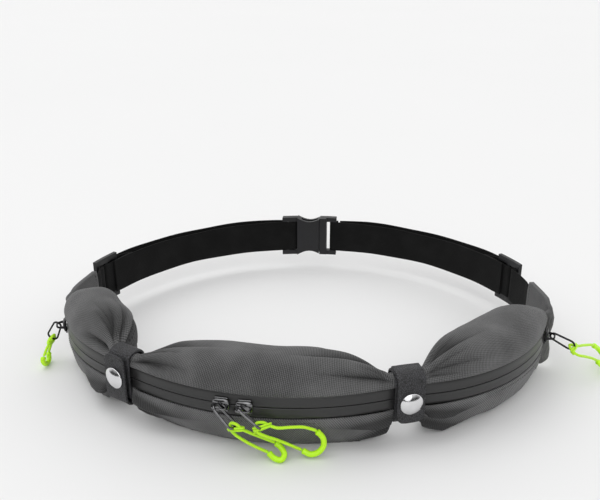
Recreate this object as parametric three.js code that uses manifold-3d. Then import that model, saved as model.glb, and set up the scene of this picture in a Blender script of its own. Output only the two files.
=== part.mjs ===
// Waist pack: three zipped fabric pouches in a row, held at two necks by snap straps, on an elastic
// belt that closes behind with a side-release buckle and shortens at two tri-glide adjusters.
// Millimetres, +Z up. The front faces -Y, the buckle is at +Y, and the pouches stand on z = 0.
import * as THREE from "three";
import { mergeVertices } from "three/addons/utils/BufferGeometryUtils.js";
import Module from "manifold-3d";

const wasm = await Module();
wasm.setup();

// ---- driving dimensions ----
const GAP = 0.3; // between pieces that touch
const BELT = { x: 5, y: -30 }; // centre of the belt's arc, in plan
const ZIP_Z = 33; // height of every zip's centre line
const PANEL = 2.4; // padded fabric thickness
const TAPE = { height: 7.6, thickness: 1.1, slit: 0.6 }; // one zip tape, and half of the slit between two
const SQUARENESS = 2.6; // exponent of a pouch's section
const NECK = { back: 9.4, up: 14.5, down: 16 }; // a neck's section, from the zip's centre line
const WEB = { low: 19, high: 47, thickness: 1.2 }; // elastic webbing, 28 mm wide
const RUN = { inner: 181.5, looped: 183.1, tail: 188, outer: 189.7, wing: 178.6 }; // plan radii
const GLIDE = { from: 184.1, to: 187.1, low: 13.8, high: 52.2, bar: 3.2, reach: 13.4 };
const STRAP = { width: 18.5, thickness: 1.8 }; // leather neck strap
const SNAP_CAP = 15; // diameter
const CORD = 2; // diameter
const CORD_STEPS = 22;
const GRIP = 4; // diameter of the moulded grip on a cord
const GRIP_STEPS = 10;
const FINE = 1; // degrees between the points of a plan arc where pieces slide on each other

const rad = THREE.MathUtils.degToRad;
const ORIGIN = { x: 5.71, y: 0.4 }; // the middle of the whole pack, without its cords, in the plan used here
const pack = new THREE.Group();
pack.position.set(-ORIGIN.x, -ORIGIN.y, 0);

// ---- materials ----
const finish = (color, roughness, metalness = 0) =>
  new THREE.MeshStandardMaterial({ color, roughness, metalness });
const FABRIC = finish(0x4b4b4d, 0.9);
const LINING = finish(0x3c3c3e, 0.95);
const COATED = finish(0x1d1d1f, 0.55);
const ELASTIC = finish(0x19191b, 0.85);
const LEATHER = finish(0x242428, 0.6);
const PLASTIC = finish(0x1a1a1c, 0.4);
const CHROME = finish(0xc8c8ca, 0.15, 1);
const GUNMETAL = finish(0x2c2c2e, 0.3, 1);
const LIME = finish(0xb8f500, 0.5);

// ---- solids ----
function mesh(name, geometry, material) {
  const made = new THREE.Mesh(geometry, material);
  made.name = name;
  return made;
}

// A closed body from points and triangles, turned so that its faces point out.
function closedBody(points, triangles) {
  const at = (i) => new THREE.Vector3(...points[i]);
  let volume = 0;
  for (const [a, b, c] of triangles) volume += at(a).dot(at(b).cross(at(c)));
  const faces = volume > 0 ? triangles : triangles.map(([a, b, c]) => [a, c, b]);
  const geometry = new THREE.BufferGeometry();
  geometry.setAttribute("position", new THREE.Float32BufferAttribute(points.flat(), 3));
  geometry.setIndex(faces.flat());
  return geometry;
}

// The thin body between an outer and an inner grid of points, both rows by columns.
function bodyBetween(outer, inner) {
  const rows = outer.length;
  const columns = outer[0].length;
  const at = (side, r, c) => (side * rows + r) * columns + c;
  const triangles = [];
  const quad = (a, b, c, d) => triangles.push([a, b, c], [a, c, d]);
  for (let r = 0; r < rows - 1; r++)
    for (let c = 0; c < columns - 1; c++) {
      quad(at(0, r, c), at(0, r, c + 1), at(0, r + 1, c + 1), at(0, r + 1, c));
      quad(at(1, r, c), at(1, r + 1, c), at(1, r + 1, c + 1), at(1, r, c + 1));
    }
  for (let c = 0; c < columns - 1; c++) {
    quad(at(0, 0, c), at(1, 0, c), at(1, 0, c + 1), at(0, 0, c + 1));
    quad(at(0, rows - 1, c), at(0, rows - 1, c + 1), at(1, rows - 1, c + 1), at(1, rows - 1, c));
  }
  for (let r = 0; r < rows - 1; r++) {
    quad(at(0, r, 0), at(0, r + 1, 0), at(1, r + 1, 0), at(1, r, 0));
    quad(at(0, r, columns - 1), at(1, r, columns - 1), at(1, r + 1, columns - 1), at(0, r + 1, columns - 1));
  }
  return closedBody([...outer.flat(), ...inner.flat()], triangles);
}

// A plan outline raised from low to high.
function raised(outline, low, high, holes = []) {
  const shape = new THREE.Shape(outline.map(([x, y]) => new THREE.Vector2(x, y)));
  for (const hole of holes) shape.holes.push(new THREE.Path(hole.map(([x, y]) => new THREE.Vector2(x, y))));
  const geometry = new THREE.ExtrudeGeometry(shape, { depth: high - low, bevelEnabled: false });
  return geometry.translate(0, 0, low);
}

// The outline of a strip of even thickness along a line of plan points.
function strip(line, thickness) {
  const sides = [[], []];
  line.forEach((point, i) => {
    const before = line[Math.max(i - 1, 0)];
    const after = line[Math.min(i + 1, line.length - 1)];
    const along = new THREE.Vector2(after[0] - before[0], after[1] - before[1]).normalize();
    for (const side of [0, 1]) {
      const off = (side ? -1 : 1) * (thickness / 2);
      sides[side].push([point[0] - along.y * off, point[1] + along.x * off]);
    }
  });
  return [...sides[0], ...sides[1].reverse()];
}

function manifold(geometry) {
  const bare = geometry.clone();
  bare.deleteAttribute("normal");
  bare.deleteAttribute("uv");
  const merged = mergeVertices(bare, 1e-4);
  return new wasm.Manifold(
    new wasm.Mesh({
      numProp: 3,
      vertProperties: new Float32Array(merged.attributes.position.array),
      triVerts: new Uint32Array(merged.index.array),
    }),
  );
}

function geometryOf(solid) {
  const { vertProperties, triVerts } = solid.getMesh();
  const geometry = new THREE.BufferGeometry();
  geometry.setAttribute("position", new THREE.BufferAttribute(vertProperties, 3));
  geometry.setIndex(new THREE.BufferAttribute(triVerts, 1));
  return geometry;
}

const join = (...solids) => solids.reduce((all, next) => all.add(next));

function block(sizeX, sizeY, sizeZ, x = 0, y = 0, z = 0) {
  return manifold(new THREE.BoxGeometry(sizeX, sizeY, sizeZ).translate(x, y, z));
}

function tube(points, diameter, sides, steps) {
  const curve = new THREE.CatmullRomCurve3(points.map((p) => new THREE.Vector3(...p)));
  const round = new THREE.Shape();
  for (let i = 0; i < sides; i++) {
    const angle = (i / sides) * 2 * Math.PI;
    const x = (Math.cos(angle) * diameter) / 2;
    const y = (Math.sin(angle) * diameter) / 2;
    if (i) round.lineTo(x, y);
    else round.moveTo(x, y);
  }
  return new THREE.ExtrudeGeometry(round, { steps, extrudePath: curve, bevelEnabled: false });
}

// A group whose X is the outward direction at that plan angle, Y is up and Z is along the belt.
function facing(point, angle) {
  const out = new THREE.Vector3(Math.cos(angle), Math.sin(angle), 0);
  const up = new THREE.Vector3(0, 0, 1);
  const group = new THREE.Group();
  group.position.set(...point);
  group.setRotationFromMatrix(new THREE.Matrix4().makeBasis(out, up, out.clone().cross(up)));
  pack.add(group);
  return group;
}

// ---- plan curves ----
// The arc through three plan points; at(s, out) goes from the first at s = 0 to the last at s = 1.
function arcThrough([ax, ay], [bx, by], [cx, cy]) {
  const d = 2 * (ax * (by - cy) + bx * (cy - ay) + cx * (ay - by));
  const [a, b, c] = [ax * ax + ay * ay, bx * bx + by * by, cx * cx + cy * cy];
  const x = (a * (by - cy) + b * (cy - ay) + c * (ay - by)) / d;
  const y = (a * (cx - bx) + b * (ax - cx) + c * (bx - ax)) / d;
  const radius = Math.hypot(ax - x, ay - y);
  const first = Math.atan2(ay - y, ax - x);
  const sweep = Math.atan2(cy - y, cx - x) - first;
  const angle = (s) => first + sweep * s;
  const at = (s, out = 0) => [
    x + (radius + out) * Math.cos(angle(s)),
    y + (radius + out) * Math.sin(angle(s)),
  ];
  return { x, y, radius, angle, at, length: Math.abs(sweep) * radius };
}

// A point on the belt: degrees up from the side's horizontal, and plan radius about BELT.
const belt = (side, degrees, radius) => [
  BELT.x + side * radius * Math.cos(rad(degrees)),
  BELT.y + radius * Math.sin(rad(degrees)),
];

// Points along the belt between two angles, with the radius given at each end.
function beltRun(side, from, to, radiusFrom, radiusTo = radiusFrom, step = 3) {
  const count = Math.max(2, Math.ceil(Math.abs(to - from) / step));
  return Array.from({ length: count + 1 }, (_, i) => {
    const t = i / count;
    return belt(side, from + (to - from) * t, radiusFrom + (radiusTo - radiusFrom) * t);
  });
}

const plateBetween = (side, from, to, inner, outer, low, high, step = 3) =>
  raised(strip(beltRun(side, from, to, (inner + outer) / 2, undefined, step), outer - inner), low, high);

// ---- pouches ----
const NECK_LEFT = [-107, -116];
const NECK_RIGHT = [79.2, -121.2];
const centreArc = arcThrough(NECK_LEFT, [-14, -145.5], NECK_RIGHT);
const leftArc = arcThrough(NECK_LEFT, [-149, -87], [-173.5, -47]);
const rightArc = arcThrough(NECK_RIGHT, [144, -87], [179, -20.5]);

const NECK_HALF = 10.2; // half of the length that stays at neck size, under a strap

// A pouch's run along its arc, in mm: where its panels begin and end, and where they leave neck size.
const OPEN_END = { endDepth: 9, endDown: 33.4, endFlat: 0 };
const pouches = [
  { name: "left", arc: leftArc, depth: 40, up: 29.5, down: 34.2, steep: 3.4, end: 7, ...OPEN_END },
  {
    name: "centre", arc: centreArc, depth: 38, up: 28.5, down: 34.2, steep: 4.4, end: 4.6,
    endDepth: NECK.back, endDown: NECK.down, endFlat: NECK_HALF,
  },
  { name: "right", arc: rightArc, depth: 41, up: 27.5, down: 34.2, steep: 3.4, end: 4, ...OPEN_END },
];

// How far a pouch has swelled from its neck to its middle and back, with s along its arc.
function swell({ arc, steep, end, endFlat }, s) {
  const t = (s * arc.length - NECK_HALF) / (arc.length - NECK_HALF - endFlat);
  if (t <= 0 || t >= 1) return 0;
  return t < 0.5 ? 1 - (1 - 2 * t) ** steep : 1 - (2 * t - 1) ** end;
}

// Where a pouch's rows of points stand along its arc: closer together where it swells fast.
function stationsOf({ arc, endFlat }, count) {
  const start = 0.4 / arc.length;
  const leave = (NECK_HALF - 0.2) / arc.length;
  const back = endFlat ? 1 - leave : 1;
  const between = Array.from({ length: count + 1 }, (_, i) => {
    const even = i / count;
    return leave + (back - leave) * (0.4 * even + 0.6 * (0.5 - 0.5 * Math.cos(Math.PI * even)));
  });
  return [start, ...between, ...(endFlat ? [1 - start] : [])];
}

// One point of a pouch's section: how far out from the zip line, and how high.
function sectionPoint(pouch, s, turn) {
  const full = swell(pouch, s);
  const thin = s < 0.5 ? NECK.back : pouch.endDepth;
  const half = (thin + (pouch.depth - thin) * full) / 2;
  const down = s < 0.5 ? NECK.down : pouch.endDown;
  const rise = Math.sin(turn) > 0 ? [NECK.up, pouch.up] : [down, pouch.down];
  const height = rise[0] + (rise[1] - rise[0]) * full;
  const power = 2 / SQUARENESS;
  return {
    out: -half + half * Math.sign(Math.cos(turn)) * Math.abs(Math.cos(turn)) ** power,
    up: ZIP_Z + height * Math.sign(Math.sin(turn)) * Math.abs(Math.sin(turn)) ** power,
    height,
  };
}

// The turn at which a section is clear of the zip tape, above it (+1) or below it (-1).
function turnAtTape(pouch, s, sign) {
  const { height } = sectionPoint(pouch, s, sign * 0.5);
  return Math.asin(((TAPE.slit + TAPE.height + GAP) / height) ** (SQUARENESS / 2));
}

function panel(pouch, turnFrom, turnTo, stations, across) {
  const outer = [];
  const inner = [];
  for (const s of stationsOf(pouch, stations)) {
    const rowOuter = [];
    const rowInner = [];
    for (let j = 0; j <= across; j++) {
      const turn = turnFrom(s) + (turnTo(s) - turnFrom(s)) * (j / across);
      const here = sectionPoint(pouch, s, turn);
      const before = sectionPoint(pouch, s, turn - 0.02);
      const after = sectionPoint(pouch, s, turn + 0.02);
      const along = new THREE.Vector2(after.out - before.out, after.up - before.up).normalize();
      const up = Math.max(here.up, 0);
      const inUp = Math.max(here.up + along.x * PANEL, PANEL);
      rowOuter.push([...pouch.arc.at(s, here.out), up]);
      rowInner.push([...pouch.arc.at(s, here.out - along.y * PANEL), inUp]);
    }
    outer.push(rowOuter);
    inner.push(rowInner);
  }
  return bodyBetween(outer, inner);
}

const BACK_TOP = rad(142);
const BACK_BOTTOM = rad(222);
const SEAM = rad(1.2); // half of the seam allowance between two panels

function zipTape(pouch, sign, stations) {
  const start = 0.4 / pouch.arc.length;
  const last = pouch.endFlat ? 1 - start : 0.97;
  const line = [];
  for (let i = 0; i <= stations; i++)
    line.push(pouch.arc.at(start + (last - start) * (i / stations), -TAPE.thickness / 2));
  const near = ZIP_Z + sign * TAPE.slit;
  const far = ZIP_Z + sign * (TAPE.slit + TAPE.height);
  return raised(strip(line, TAPE.thickness), Math.min(near, far), Math.max(near, far));
}

for (const pouch of pouches) {
  const tapeAbove = (s) => turnAtTape(pouch, s, 1);
  const tapeBelow = (s) => 2 * Math.PI - turnAtTape(pouch, s, -1);
  const stations = pouch.name === "centre" ? 15 : 13;
  const upper = panel(pouch, tapeAbove, () => BACK_TOP - SEAM, stations, 8);
  const lower = panel(pouch, () => BACK_BOTTOM + SEAM, tapeBelow, stations, 8);
  const back = panel(pouch, () => BACK_TOP + SEAM, () => BACK_BOTTOM - SEAM, stations, 4);
  pack.add(
    mesh(`${pouch.name}_upper_panel`, upper, FABRIC),
    mesh(`${pouch.name}_lower_panel`, lower, FABRIC),
    mesh(`${pouch.name}_back_panel`, back, LINING),
    mesh(`${pouch.name}_zip_tape_upper`, zipTape(pouch, 1, stations), COATED),
    mesh(`${pouch.name}_zip_tape_lower`, zipTape(pouch, -1, stations), COATED),
  );
}

// ---- belt sides: each is a wing of pouch fabric, the webbing's runs, and its adjuster ----
const sides = [
  { name: "left", side: -1, pivot: -4.5, wingEnd: 11.5, glide: 19, seam: 28.4, bar: 78.99 },
  { name: "right", side: 1, pivot: 3.7, wingEnd: 18.6, glide: 31.6, seam: 40.4, bar: 88.07 },
];

// The line of the inner run at the buckle: inside the bar, round it and a little way back outside it.
function roundBuckleBar(side, bar) {
  const middle = (RUN.inner + 187) / 2;
  const reach = (187 - RUN.inner) / 2;
  const turn = [];
  for (let i = 0; i <= 8; i++) {
    const around = -Math.PI / 2 + (Math.PI * i) / 8;
    const radius = middle + reach * Math.sin(around);
    turn.push(belt(side, bar + 0.55 + (reach * Math.cos(around)) / rad(1) / middle, radius));
  }
  return [...turn, belt(side, bar - 0.8, 187)];
}

// The webbing's sewn end: along inside the adjuster's bars, round the middle one and back outside
// them to the seam, where it lies on its own beginning.
function loopedEnd({ side, glide, seam }) {
  const middle = (RUN.looped + RUN.tail) / 2;
  const deep = (RUN.tail - RUN.looped) / 2;
  const edge = glide - 0.5;
  const wrap = Array.from({ length: 9 }, (_, i) => {
    const around = -Math.PI / 2 + (Math.PI * i) / 8;
    return belt(side, edge - (deep * Math.cos(around)) / rad(1) / middle, middle + deep * Math.sin(around));
  });
  const line = [
    ...beltRun(side, seam, edge + 0.6, RUN.looped),
    ...wrap,
    ...beltRun(side, edge + 0.6, seam - 4, RUN.tail),
    ...beltRun(side, seam - 3, seam - 0.6, RUN.tail - 0.9, RUN.looped + WEB.thickness + GAP, 1.2),
  ];
  return raised(strip(line, WEB.thickness), WEB.low, WEB.high);
}

function triGlide({ side, glide }) {
  const perMm = 1 / rad(1) / ((GLIDE.from + GLIDE.to) / 2);
  const reach = GLIDE.reach * perMm;
  const bar = (GLIDE.bar / 2) * perMm;
  const body = manifold(
    plateBetween(side, glide - reach, glide + reach, GLIDE.from, GLIDE.to, GLIDE.low, GLIDE.high, FINE),
  );
  const slots = [
    [glide - reach + 2 * bar, glide - bar],
    [glide + bar, glide + reach - 2 * bar],
  ].map(([from, to]) =>
    manifold(plateBetween(side, from, to, GLIDE.from - 1, GLIDE.to + 1, WEB.low - 0.4, WEB.high + 0.4, FINE)),
  );
  return geometryOf(body.subtract(join(...slots)));
}

for (const place of sides) {
  const { name, side, pivot, wingEnd, glide, seam, bar } = place;
  const wing = plateBetween(side, pivot + 0.6, wingEnd, RUN.wing - 1, RUN.wing + 1, 16, 50);
  const wingRun = raised(
    strip(
      [
        ...beltRun(side, wingEnd - 6, wingEnd + 0.5, RUN.wing - 2, RUN.wing - 1.7),
        ...beltRun(side, wingEnd + 2.5, glide - 1.9, RUN.wing - 0.9, RUN.inner + 0.2),
      ],
      WEB.thickness,
    ),
    WEB.low,
    WEB.high,
  );
  const innerRun = raised(
    strip([...beltRun(side, seam - 7.4, bar, RUN.inner), ...roundBuckleBar(side, bar)], WEB.thickness),
    WEB.low,
    WEB.high,
  );
  const outerRun = raised(
    strip(
      [
        ...beltRun(side, glide - 3, bar - 9, RUN.outer),
        ...beltRun(side, bar - 5, bar - 1.3, RUN.outer - 1.2, 187),
      ],
      WEB.thickness,
    ),
    WEB.low,
    WEB.high,
  );
  pack.add(
    mesh(`${name}_wing`, wing, FABRIC),
    mesh(`${name}_strap_wing_run`, wingRun, ELASTIC),
    mesh(`${name}_strap_looped_end`, loopedEnd(place), ELASTIC),
    mesh(`${name}_strap_inner_run`, innerRun, ELASTIC),
    mesh(`${name}_strap_outer_run`, outerRun, ELASTIC),
    mesh(`${name}_tri_glide`, triGlide(place), PLASTIC),
  );
}

// ---- buckle: curved to the belt's arc, so that the plug leaves the socket along it ----
const BUCKLE = { in: 178.8, out: 188, low: 14.5, high: 51.5, split: -3.8 };
const SOCKET = { end: -38.2, endBar: -35.4, bar: -30.5, slot: -27.3, body: -24.2 }; // along the belt
const PLUG = { body: 3.2, bar: 9.2, end: 12.4 };
const HOUSING = { in: 181.6, out: 185.4 }; // the space for the latch arms, in plan radius
const arcStock = (inner, outer, fromX, toX) => {
  const degrees = (x) => 90 - Math.asin((x - BELT.x) / ((inner + outer) / 2)) / rad(1);
  return manifold(plateBetween(1, degrees(toX), degrees(fromX), inner, outer, 0, 70, FINE));
};

// An outline in X and Z, cut from the curved stock between two radii.
function curvedPlate(outline, inner, outer) {
  const xs = outline.map(([x]) => x);
  const cutter = raised(outline, 0, 60).rotateX(Math.PI / 2).translate(0, BELT.y + RUN.inner + 30, 0);
  return arcStock(inner, outer, Math.min(...xs) - 3, Math.max(...xs) + 3).intersect(manifold(cutter));
}

const rectangle = (x0, x1, z0, z1) => [[x0, z0], [x1, z0], [x1, z1], [x0, z1]];

// A rectangle whose upper and lower edges dip in at the middle, for the finger grips.
function waisted(x0, x1, low, high, dip) {
  const steps = 8;
  const edge = Array.from({ length: steps + 1 }, (_, i) => {
    const t = i / steps;
    return [x0 + (x1 - x0) * t, dip * Math.sin(Math.PI * t)];
  });
  return [
    ...edge.map(([x, d]) => [x, low + d]),
    ...edge.reverse().map(([x, d]) => [x, high - d]),
  ];
}

function strapBar(x0, x1) {
  return curvedPlate(rectangle(x0, x1, BUCKLE.low + 1, BUCKLE.high - 1), 182.7, 185.7);
}

function strapFrame(barFrom, barTo, slotFrom, slotTo) {
  const [from, to] = [Math.min(barFrom, slotFrom), Math.max(barTo, slotTo)];
  const rails = [
    [BUCKLE.low, WEB.low - 0.5],
    [WEB.high + 0.5, BUCKLE.high],
  ].map(([low, high]) => curvedPlate(rectangle(from, to, low, high), BUCKLE.in + 2, BUCKLE.out - 1.6));
  return join(...rails, strapBar(barFrom, barTo));
}

function buckleSocket() {
  const body = curvedPlate(
    waisted(SOCKET.body, BUCKLE.split + 2.4, BUCKLE.low, BUCKLE.high, 4),
    BUCKLE.in,
    BUCKLE.out,
  ).intersect(curvedPlate(rectangle(SOCKET.body, BUCKLE.split, 0, 60), BUCKLE.in - 1, BUCKLE.out + 1));
  const room = rectangle(SOCKET.body + 2.6, BUCKLE.split + 3, 16.4, 49.6);
  const cavity = curvedPlate(room, HOUSING.in, HOUSING.out);
  const frame = strapFrame(SOCKET.bar, SOCKET.slot, SOCKET.end, SOCKET.body + 0.5);
  return geometryOf(join(body.subtract(cavity), frame, strapBar(SOCKET.end, SOCKET.endBar)));
}

function bucklePlug() {
  const base = curvedPlate(
    rectangle(BUCKLE.split + 0.5, PLUG.body, BUCKLE.low + 0.5, BUCKLE.high - 0.5),
    BUCKLE.in + 0.4,
    BUCKLE.out - 0.4,
  );
  const tongue = curvedPlate(
    rectangle(SOCKET.body + 4.2, PLUG.body, 30, 36),
    HOUSING.in + 0.45,
    HOUSING.out - 0.45,
  );
  const armRoom = curvedPlate(rectangle(BUCKLE.split - 1, -0.6, 15.6, 50.4), HOUSING.in, HOUSING.out);
  const bridge = curvedPlate(
    rectangle(BUCKLE.split + 0.5, PLUG.body, 28, 38),
    HOUSING.in - 0.1,
    HOUSING.out + 0.1,
  );
  return geometryOf(
    base
      .subtract(armRoom)
      .add(bridge)
      .add(tongue)
      .add(strapFrame(PLUG.bar, PLUG.end, PLUG.body - 0.5, PLUG.bar)),
  );
}

// A latch arm: from its root in the plug along the socket's edge to its hook, with a bulge to press.
function latchArm(up) {
  const z = (value) => (up ? value : 2 * ZIP_Z - value);
  const outline = [
    [-1, 40.4], [-1, 45.4], [-4.5, 46.8], [-8, 46.2], [-12, 45.8], [-15.6, 47], [-18.4, 44.8],
    [-19.4, 41], [-17.4, 40.4], [-14.8, 43], [-9, 42.4], [-4.5, 41.4],
  ].map(([x, value]) => [x, z(value)]);
  return geometryOf(curvedPlate(up ? outline : outline.reverse(), HOUSING.in + 0.45, HOUSING.out - 0.45));
}

pack.add(
  mesh("buckle_socket", buckleSocket(), PLASTIC),
  mesh("buckle_plug", bucklePlug(), PLASTIC),
  mesh("buckle_latch_upper", latchArm(true), PLASTIC),
  mesh("buckle_latch_lower", latchArm(false), PLASTIC),
);

// ---- neck straps: a leather band round each neck, closed in front by a snap ----
const BAND = { front: 1.6, back: -10.4, low: ZIP_Z - 16.8, high: ZIP_Z + 15.3, corner: 4.4 };

// A rounded rectangle in (out, up), grown by a margin, as a list of points.
function roundedRing(margin) {
  const corner = BAND.corner + margin;
  const corners = [
    [BAND.front + margin - corner, BAND.low - margin + corner, -90],
    [BAND.front + margin - corner, BAND.high + margin - corner, 0],
    [BAND.back - margin + corner, BAND.high + margin - corner, 90],
    [BAND.back - margin + corner, BAND.low - margin + corner, 180],
  ];
  return corners.flatMap(([x, y, start]) =>
    [0, 30, 60, 90].map((more) => [
      x + corner * Math.cos(rad(start + more)),
      y + corner * Math.sin(rad(start + more)),
    ]),
  );
}

// The flap's face: a tab as wide as the strap, square where it leaves the band and round at its end.
function flapGeometry(length) {
  const half = STRAP.width / 2;
  const round = 6;
  const face = new THREE.Shape();
  face.moveTo(0, -half);
  face.lineTo(length - round, -half);
  face.absarc(length - round, -half + round, round, -Math.PI / 2, 0);
  face.absarc(length - round, half - round, round, 0, Math.PI / 2);
  face.lineTo(0, half);
  return new THREE.ExtrudeGeometry(face, { depth: STRAP.thickness, bevelEnabled: false, curveSegments: 4 });
}

const CAP_EDGE = SNAP_CAP / 2;
const capProfile = [
  [0, 0], [CAP_EDGE - 0.4, 0], [CAP_EDGE, 0.7], [CAP_EDGE - 0.7, 1.3], [5, 2], [2.5, 2.5], [0, 2.6],
];
const socketProfile = [[2.1, 0], [5, 0], [5, 0.9], [2.1, 0.9], [2.1, 0]];
const studProfile = [[0, 0], [4.5, 0], [4.5, 0.5], [1.7, 0.6], [1.75, 1.5], [0, 1.6]];

// A turned piece whose axis points outward from the belt.
const turned = (profile, segments) =>
  new THREE.LatheGeometry(profile.map(([x, y]) => new THREE.Vector2(x, y)), segments).rotateZ(-Math.PI / 2);

// How far out from the zip face each layer of a snap begins.
const STUD_OUT = BAND.front + STRAP.thickness + GAP;
const FLAP_OUT = STUD_OUT + 2;
const OUT = { stud: STUD_OUT, socket: STUD_OUT + 0.8, flap: FLAP_OUT, cap: FLAP_OUT + STRAP.thickness + GAP };

const straps = [
  { name: "left", point: NECK_LEFT, arc: centreArc, s: 0, fromTop: false, snapUp: 0, length: 35 },
  { name: "right", point: NECK_RIGHT, arc: centreArc, s: 1, fromTop: true, snapUp: -1.2, length: 32.7 },
];

for (const { name, point, arc, s, fromTop, snapUp, length } of straps) {
  const outerArc = name === "left" ? leftArc : rightArc;
  const turnNeck = (arc.angle(s) + outerArc.angle(0)) / 2;
  const group = facing([...point, 0], turnNeck);
  const band = raised(roundedRing(STRAP.thickness), -STRAP.width / 2, STRAP.width / 2, [roundedRing(0)]);
  const flap = flapGeometry(length)
    .rotateY(Math.PI / 2)
    .rotateX(Math.PI / 2)
    .rotateX(fromTop ? Math.PI : 0);
  flap.computeBoundingBox();
  const root = fromTop ? BAND.high + STRAP.thickness : BAND.low - STRAP.thickness;
  const flapRoot = fromTop ? flap.boundingBox.max.y : flap.boundingBox.min.y;
  flap.translate(OUT.flap - flap.boundingBox.min.x, root - flapRoot, 0);
  group.add(
    mesh(`${name}_neck_band`, band, LEATHER),
    mesh(`${name}_neck_flap`, flap, LEATHER),
    mesh(`${name}_snap_cap`, turned(capProfile, 24).translate(OUT.cap, ZIP_Z + snapUp, 0), CHROME),
    mesh(`${name}_snap_socket`, turned(socketProfile, 16).translate(OUT.socket, ZIP_Z + snapUp, 0), CHROME),
    mesh(`${name}_snap_stud`, turned(studProfile, 16).translate(OUT.stud, ZIP_Z + snapUp, 0), CHROME),
  );
}

// ---- zip sliders, each with its pull, cord and moulded grip ----
const SLIDER = { length: 11, height: 9, face: 0.5, plate: 1.5, bailAt: 7 };

// Slider: a plate on each side of the tapes, joined through the slit, and a bail over the outer one.
function sliderGeometry() {
  const outer = block(SLIDER.plate, SLIDER.height, SLIDER.length, SLIDER.face + SLIDER.plate / 2);
  const inner = block(1.2, SLIDER.height - 1, SLIDER.length, -TAPE.thickness - 0.5 - 0.6);
  const web = block(4, 0.7, SLIDER.length - 3, -0.6);
  const bailOut = SLIDER.bailAt + 0.65;
  const over = block(1.3, 1.4, 9.2, SLIDER.bailAt);
  const legs = [-1, 1].map((end) =>
    block(bailOut - SLIDER.face - 0.5, 1.8, 1.2, (bailOut + SLIDER.face + 0.5) / 2, 0, end * 4),
  );
  return geometryOf(join(outer, inner, web, over, ...legs));
}

// Pull: a loop of wire, narrow where it hangs from the bail at the origin and wide at its far end.
function pullGeometry() {
  const near = { inside: 2.3, outside: 3.6 };
  const far = { inside: 2.9, outside: 4.6, at: 11.5 };
  const outline = (which) => {
    const lean = Math.asin((far[which] - near[which]) / far.at);
    const points = [];
    for (let i = 0; i <= 8; i++) {
      const angle = Math.PI / 2 + lean + ((Math.PI - 2 * lean) * i) / 8;
      points.push([near[which] * Math.cos(angle), near[which] * Math.sin(angle)]);
    }
    for (let i = 0; i <= 8; i++) {
      const angle = -Math.PI / 2 - lean + ((Math.PI + 2 * lean) * i) / 8;
      points.push([far.at + far[which] * Math.cos(angle), far[which] * Math.sin(angle)]);
    }
    return points;
  };
  return raised(outline("outside"), -0.7, 0.7, [outline("inside")]);
}

// A pull hangs from its slider's bail: hang is the way it points as (out, up, along), and yaw turns
// its loop about that way. The cord runs from one end of its grip up through the loop and back.
const zips = [
  {
    name: "left_end", arc: leftArc, s: 0.93, hang: [0.35, -0.85, 0.4], yaw: 20,
    cord: [
      [-187.7, -62.1, 10.4], [-186.6, -59.8, 14], [-185.3, -57, 17.6], [-184, -55.6, 21.2],
      [-182.8, -53.1, 22.9], [-183.4, -50.2, 21.2], [-185.4, -49.4, 17.4], [-187, -51, 13],
      [-187.9, -53.4, 9],
    ],
    grip: [
      [-188, -62.8, 9.6], [-188.4, -63.6, 6.4], [-188.2, -61.8, 3.2], [-187.6, -58.4, 2.2],
      [-187.8, -55.2, 3.4], [-188.2, -53.8, 6], [-188.1, -53.8, 8.3],
    ],
  },
  {
    name: "centre_left", arc: centreArc, s: 0.397, hang: [0.05, -0.7, -0.7], yaw: 5,
    cord: [
      [-1.8, -146.6, 9.2], [-8, -148.5, 13], [-15, -151, 17.5], [-20.5, -153.2, 21.8],
      [-23.8, -153.3, 24.9], [-27.3, -152.2, 24.7], [-28, -152.2, 20.8],
      [-25.2, -152.7, 17.4], [-19, -152.9, 13],
      [-12, -152.2, 8.6], [-5.4, -151.2, 5],
    ],
    grip: [
      [-1, -146.5, 8.9], [3.2, -148.4, 6.4], [5.3, -151.5, 4], [3.8, -154.6, 2.4], [-0.4, -154, 2.6],
      [-4.7, -151.2, 4.6],
    ],
  },
  {
    name: "centre_right", arc: centreArc, s: 0.472, hang: [-0.03, -0.67, -0.74], yaw: -28,
    cord: [
      [23.9, -145, 18.9], [17, -147.3, 22.2], [9, -149.8, 23.2], [1, -150.6, 22.6], [-4, -149.8, 23.4],
      [-7.9, -150.2, 25.5], [-11.9, -151.7, 25.3], [-11.2, -153.9, 21.4], [-6.5, -153.2, 18],
      [1, -151.2, 14.2], [8.5, -149.2, 9.8], [14.9, -147.5, 5.9],
    ],
    grip: [
      [24.5, -144.7, 18.2], [28.4, -144.4, 13.5], [29, -145.3, 8.6], [26.3, -147, 4.8], [21.4, -148, 3.2],
      [15.7, -147.3, 5.3],
    ],
  },
  {
    name: "right_end", arc: rightArc, s: 0.95, hang: [0.95, -0.34, 0.1], yaw: 15,
    cord: [
      [218.1, -7.5, 16.3], [214.7, -12.3, 19], [207.7, -20.3, 22.5], [201.7, -27.8, 25.6],
      [197.9, -31.6, 28.2], [194.6, -33.5, 29], [195.7, -36.9, 26.6], [199.7, -37.7, 23.8],
      [206.7, -32.7, 20], [213.4, -26.2, 15.4], [218, -21.7, 11.5],
    ],
    grip: [
      [218.6, -6.6, 15.5], [222.9, -1.7, 10.9], [227.4, -2, 6], [229.5, -7.9, 2.8],
      [226.9, -14.9, 2.8], [222.3, -19.6, 6.8], [218.6, -21.5, 10.5],
    ],
  },
];

// The turn of a pull: its X along hang, its Z as near the belt's line as yaw leaves it.
function pullTurn(hang, yaw) {
  const down = new THREE.Vector3(...hang).normalize();
  const flat = new THREE.Vector3(0, 0, 1).addScaledVector(down, -down.z).normalize();
  flat.applyAxisAngle(down, rad(yaw));
  return new THREE.Matrix4().makeBasis(down, flat.clone().cross(down), flat);
}

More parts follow.
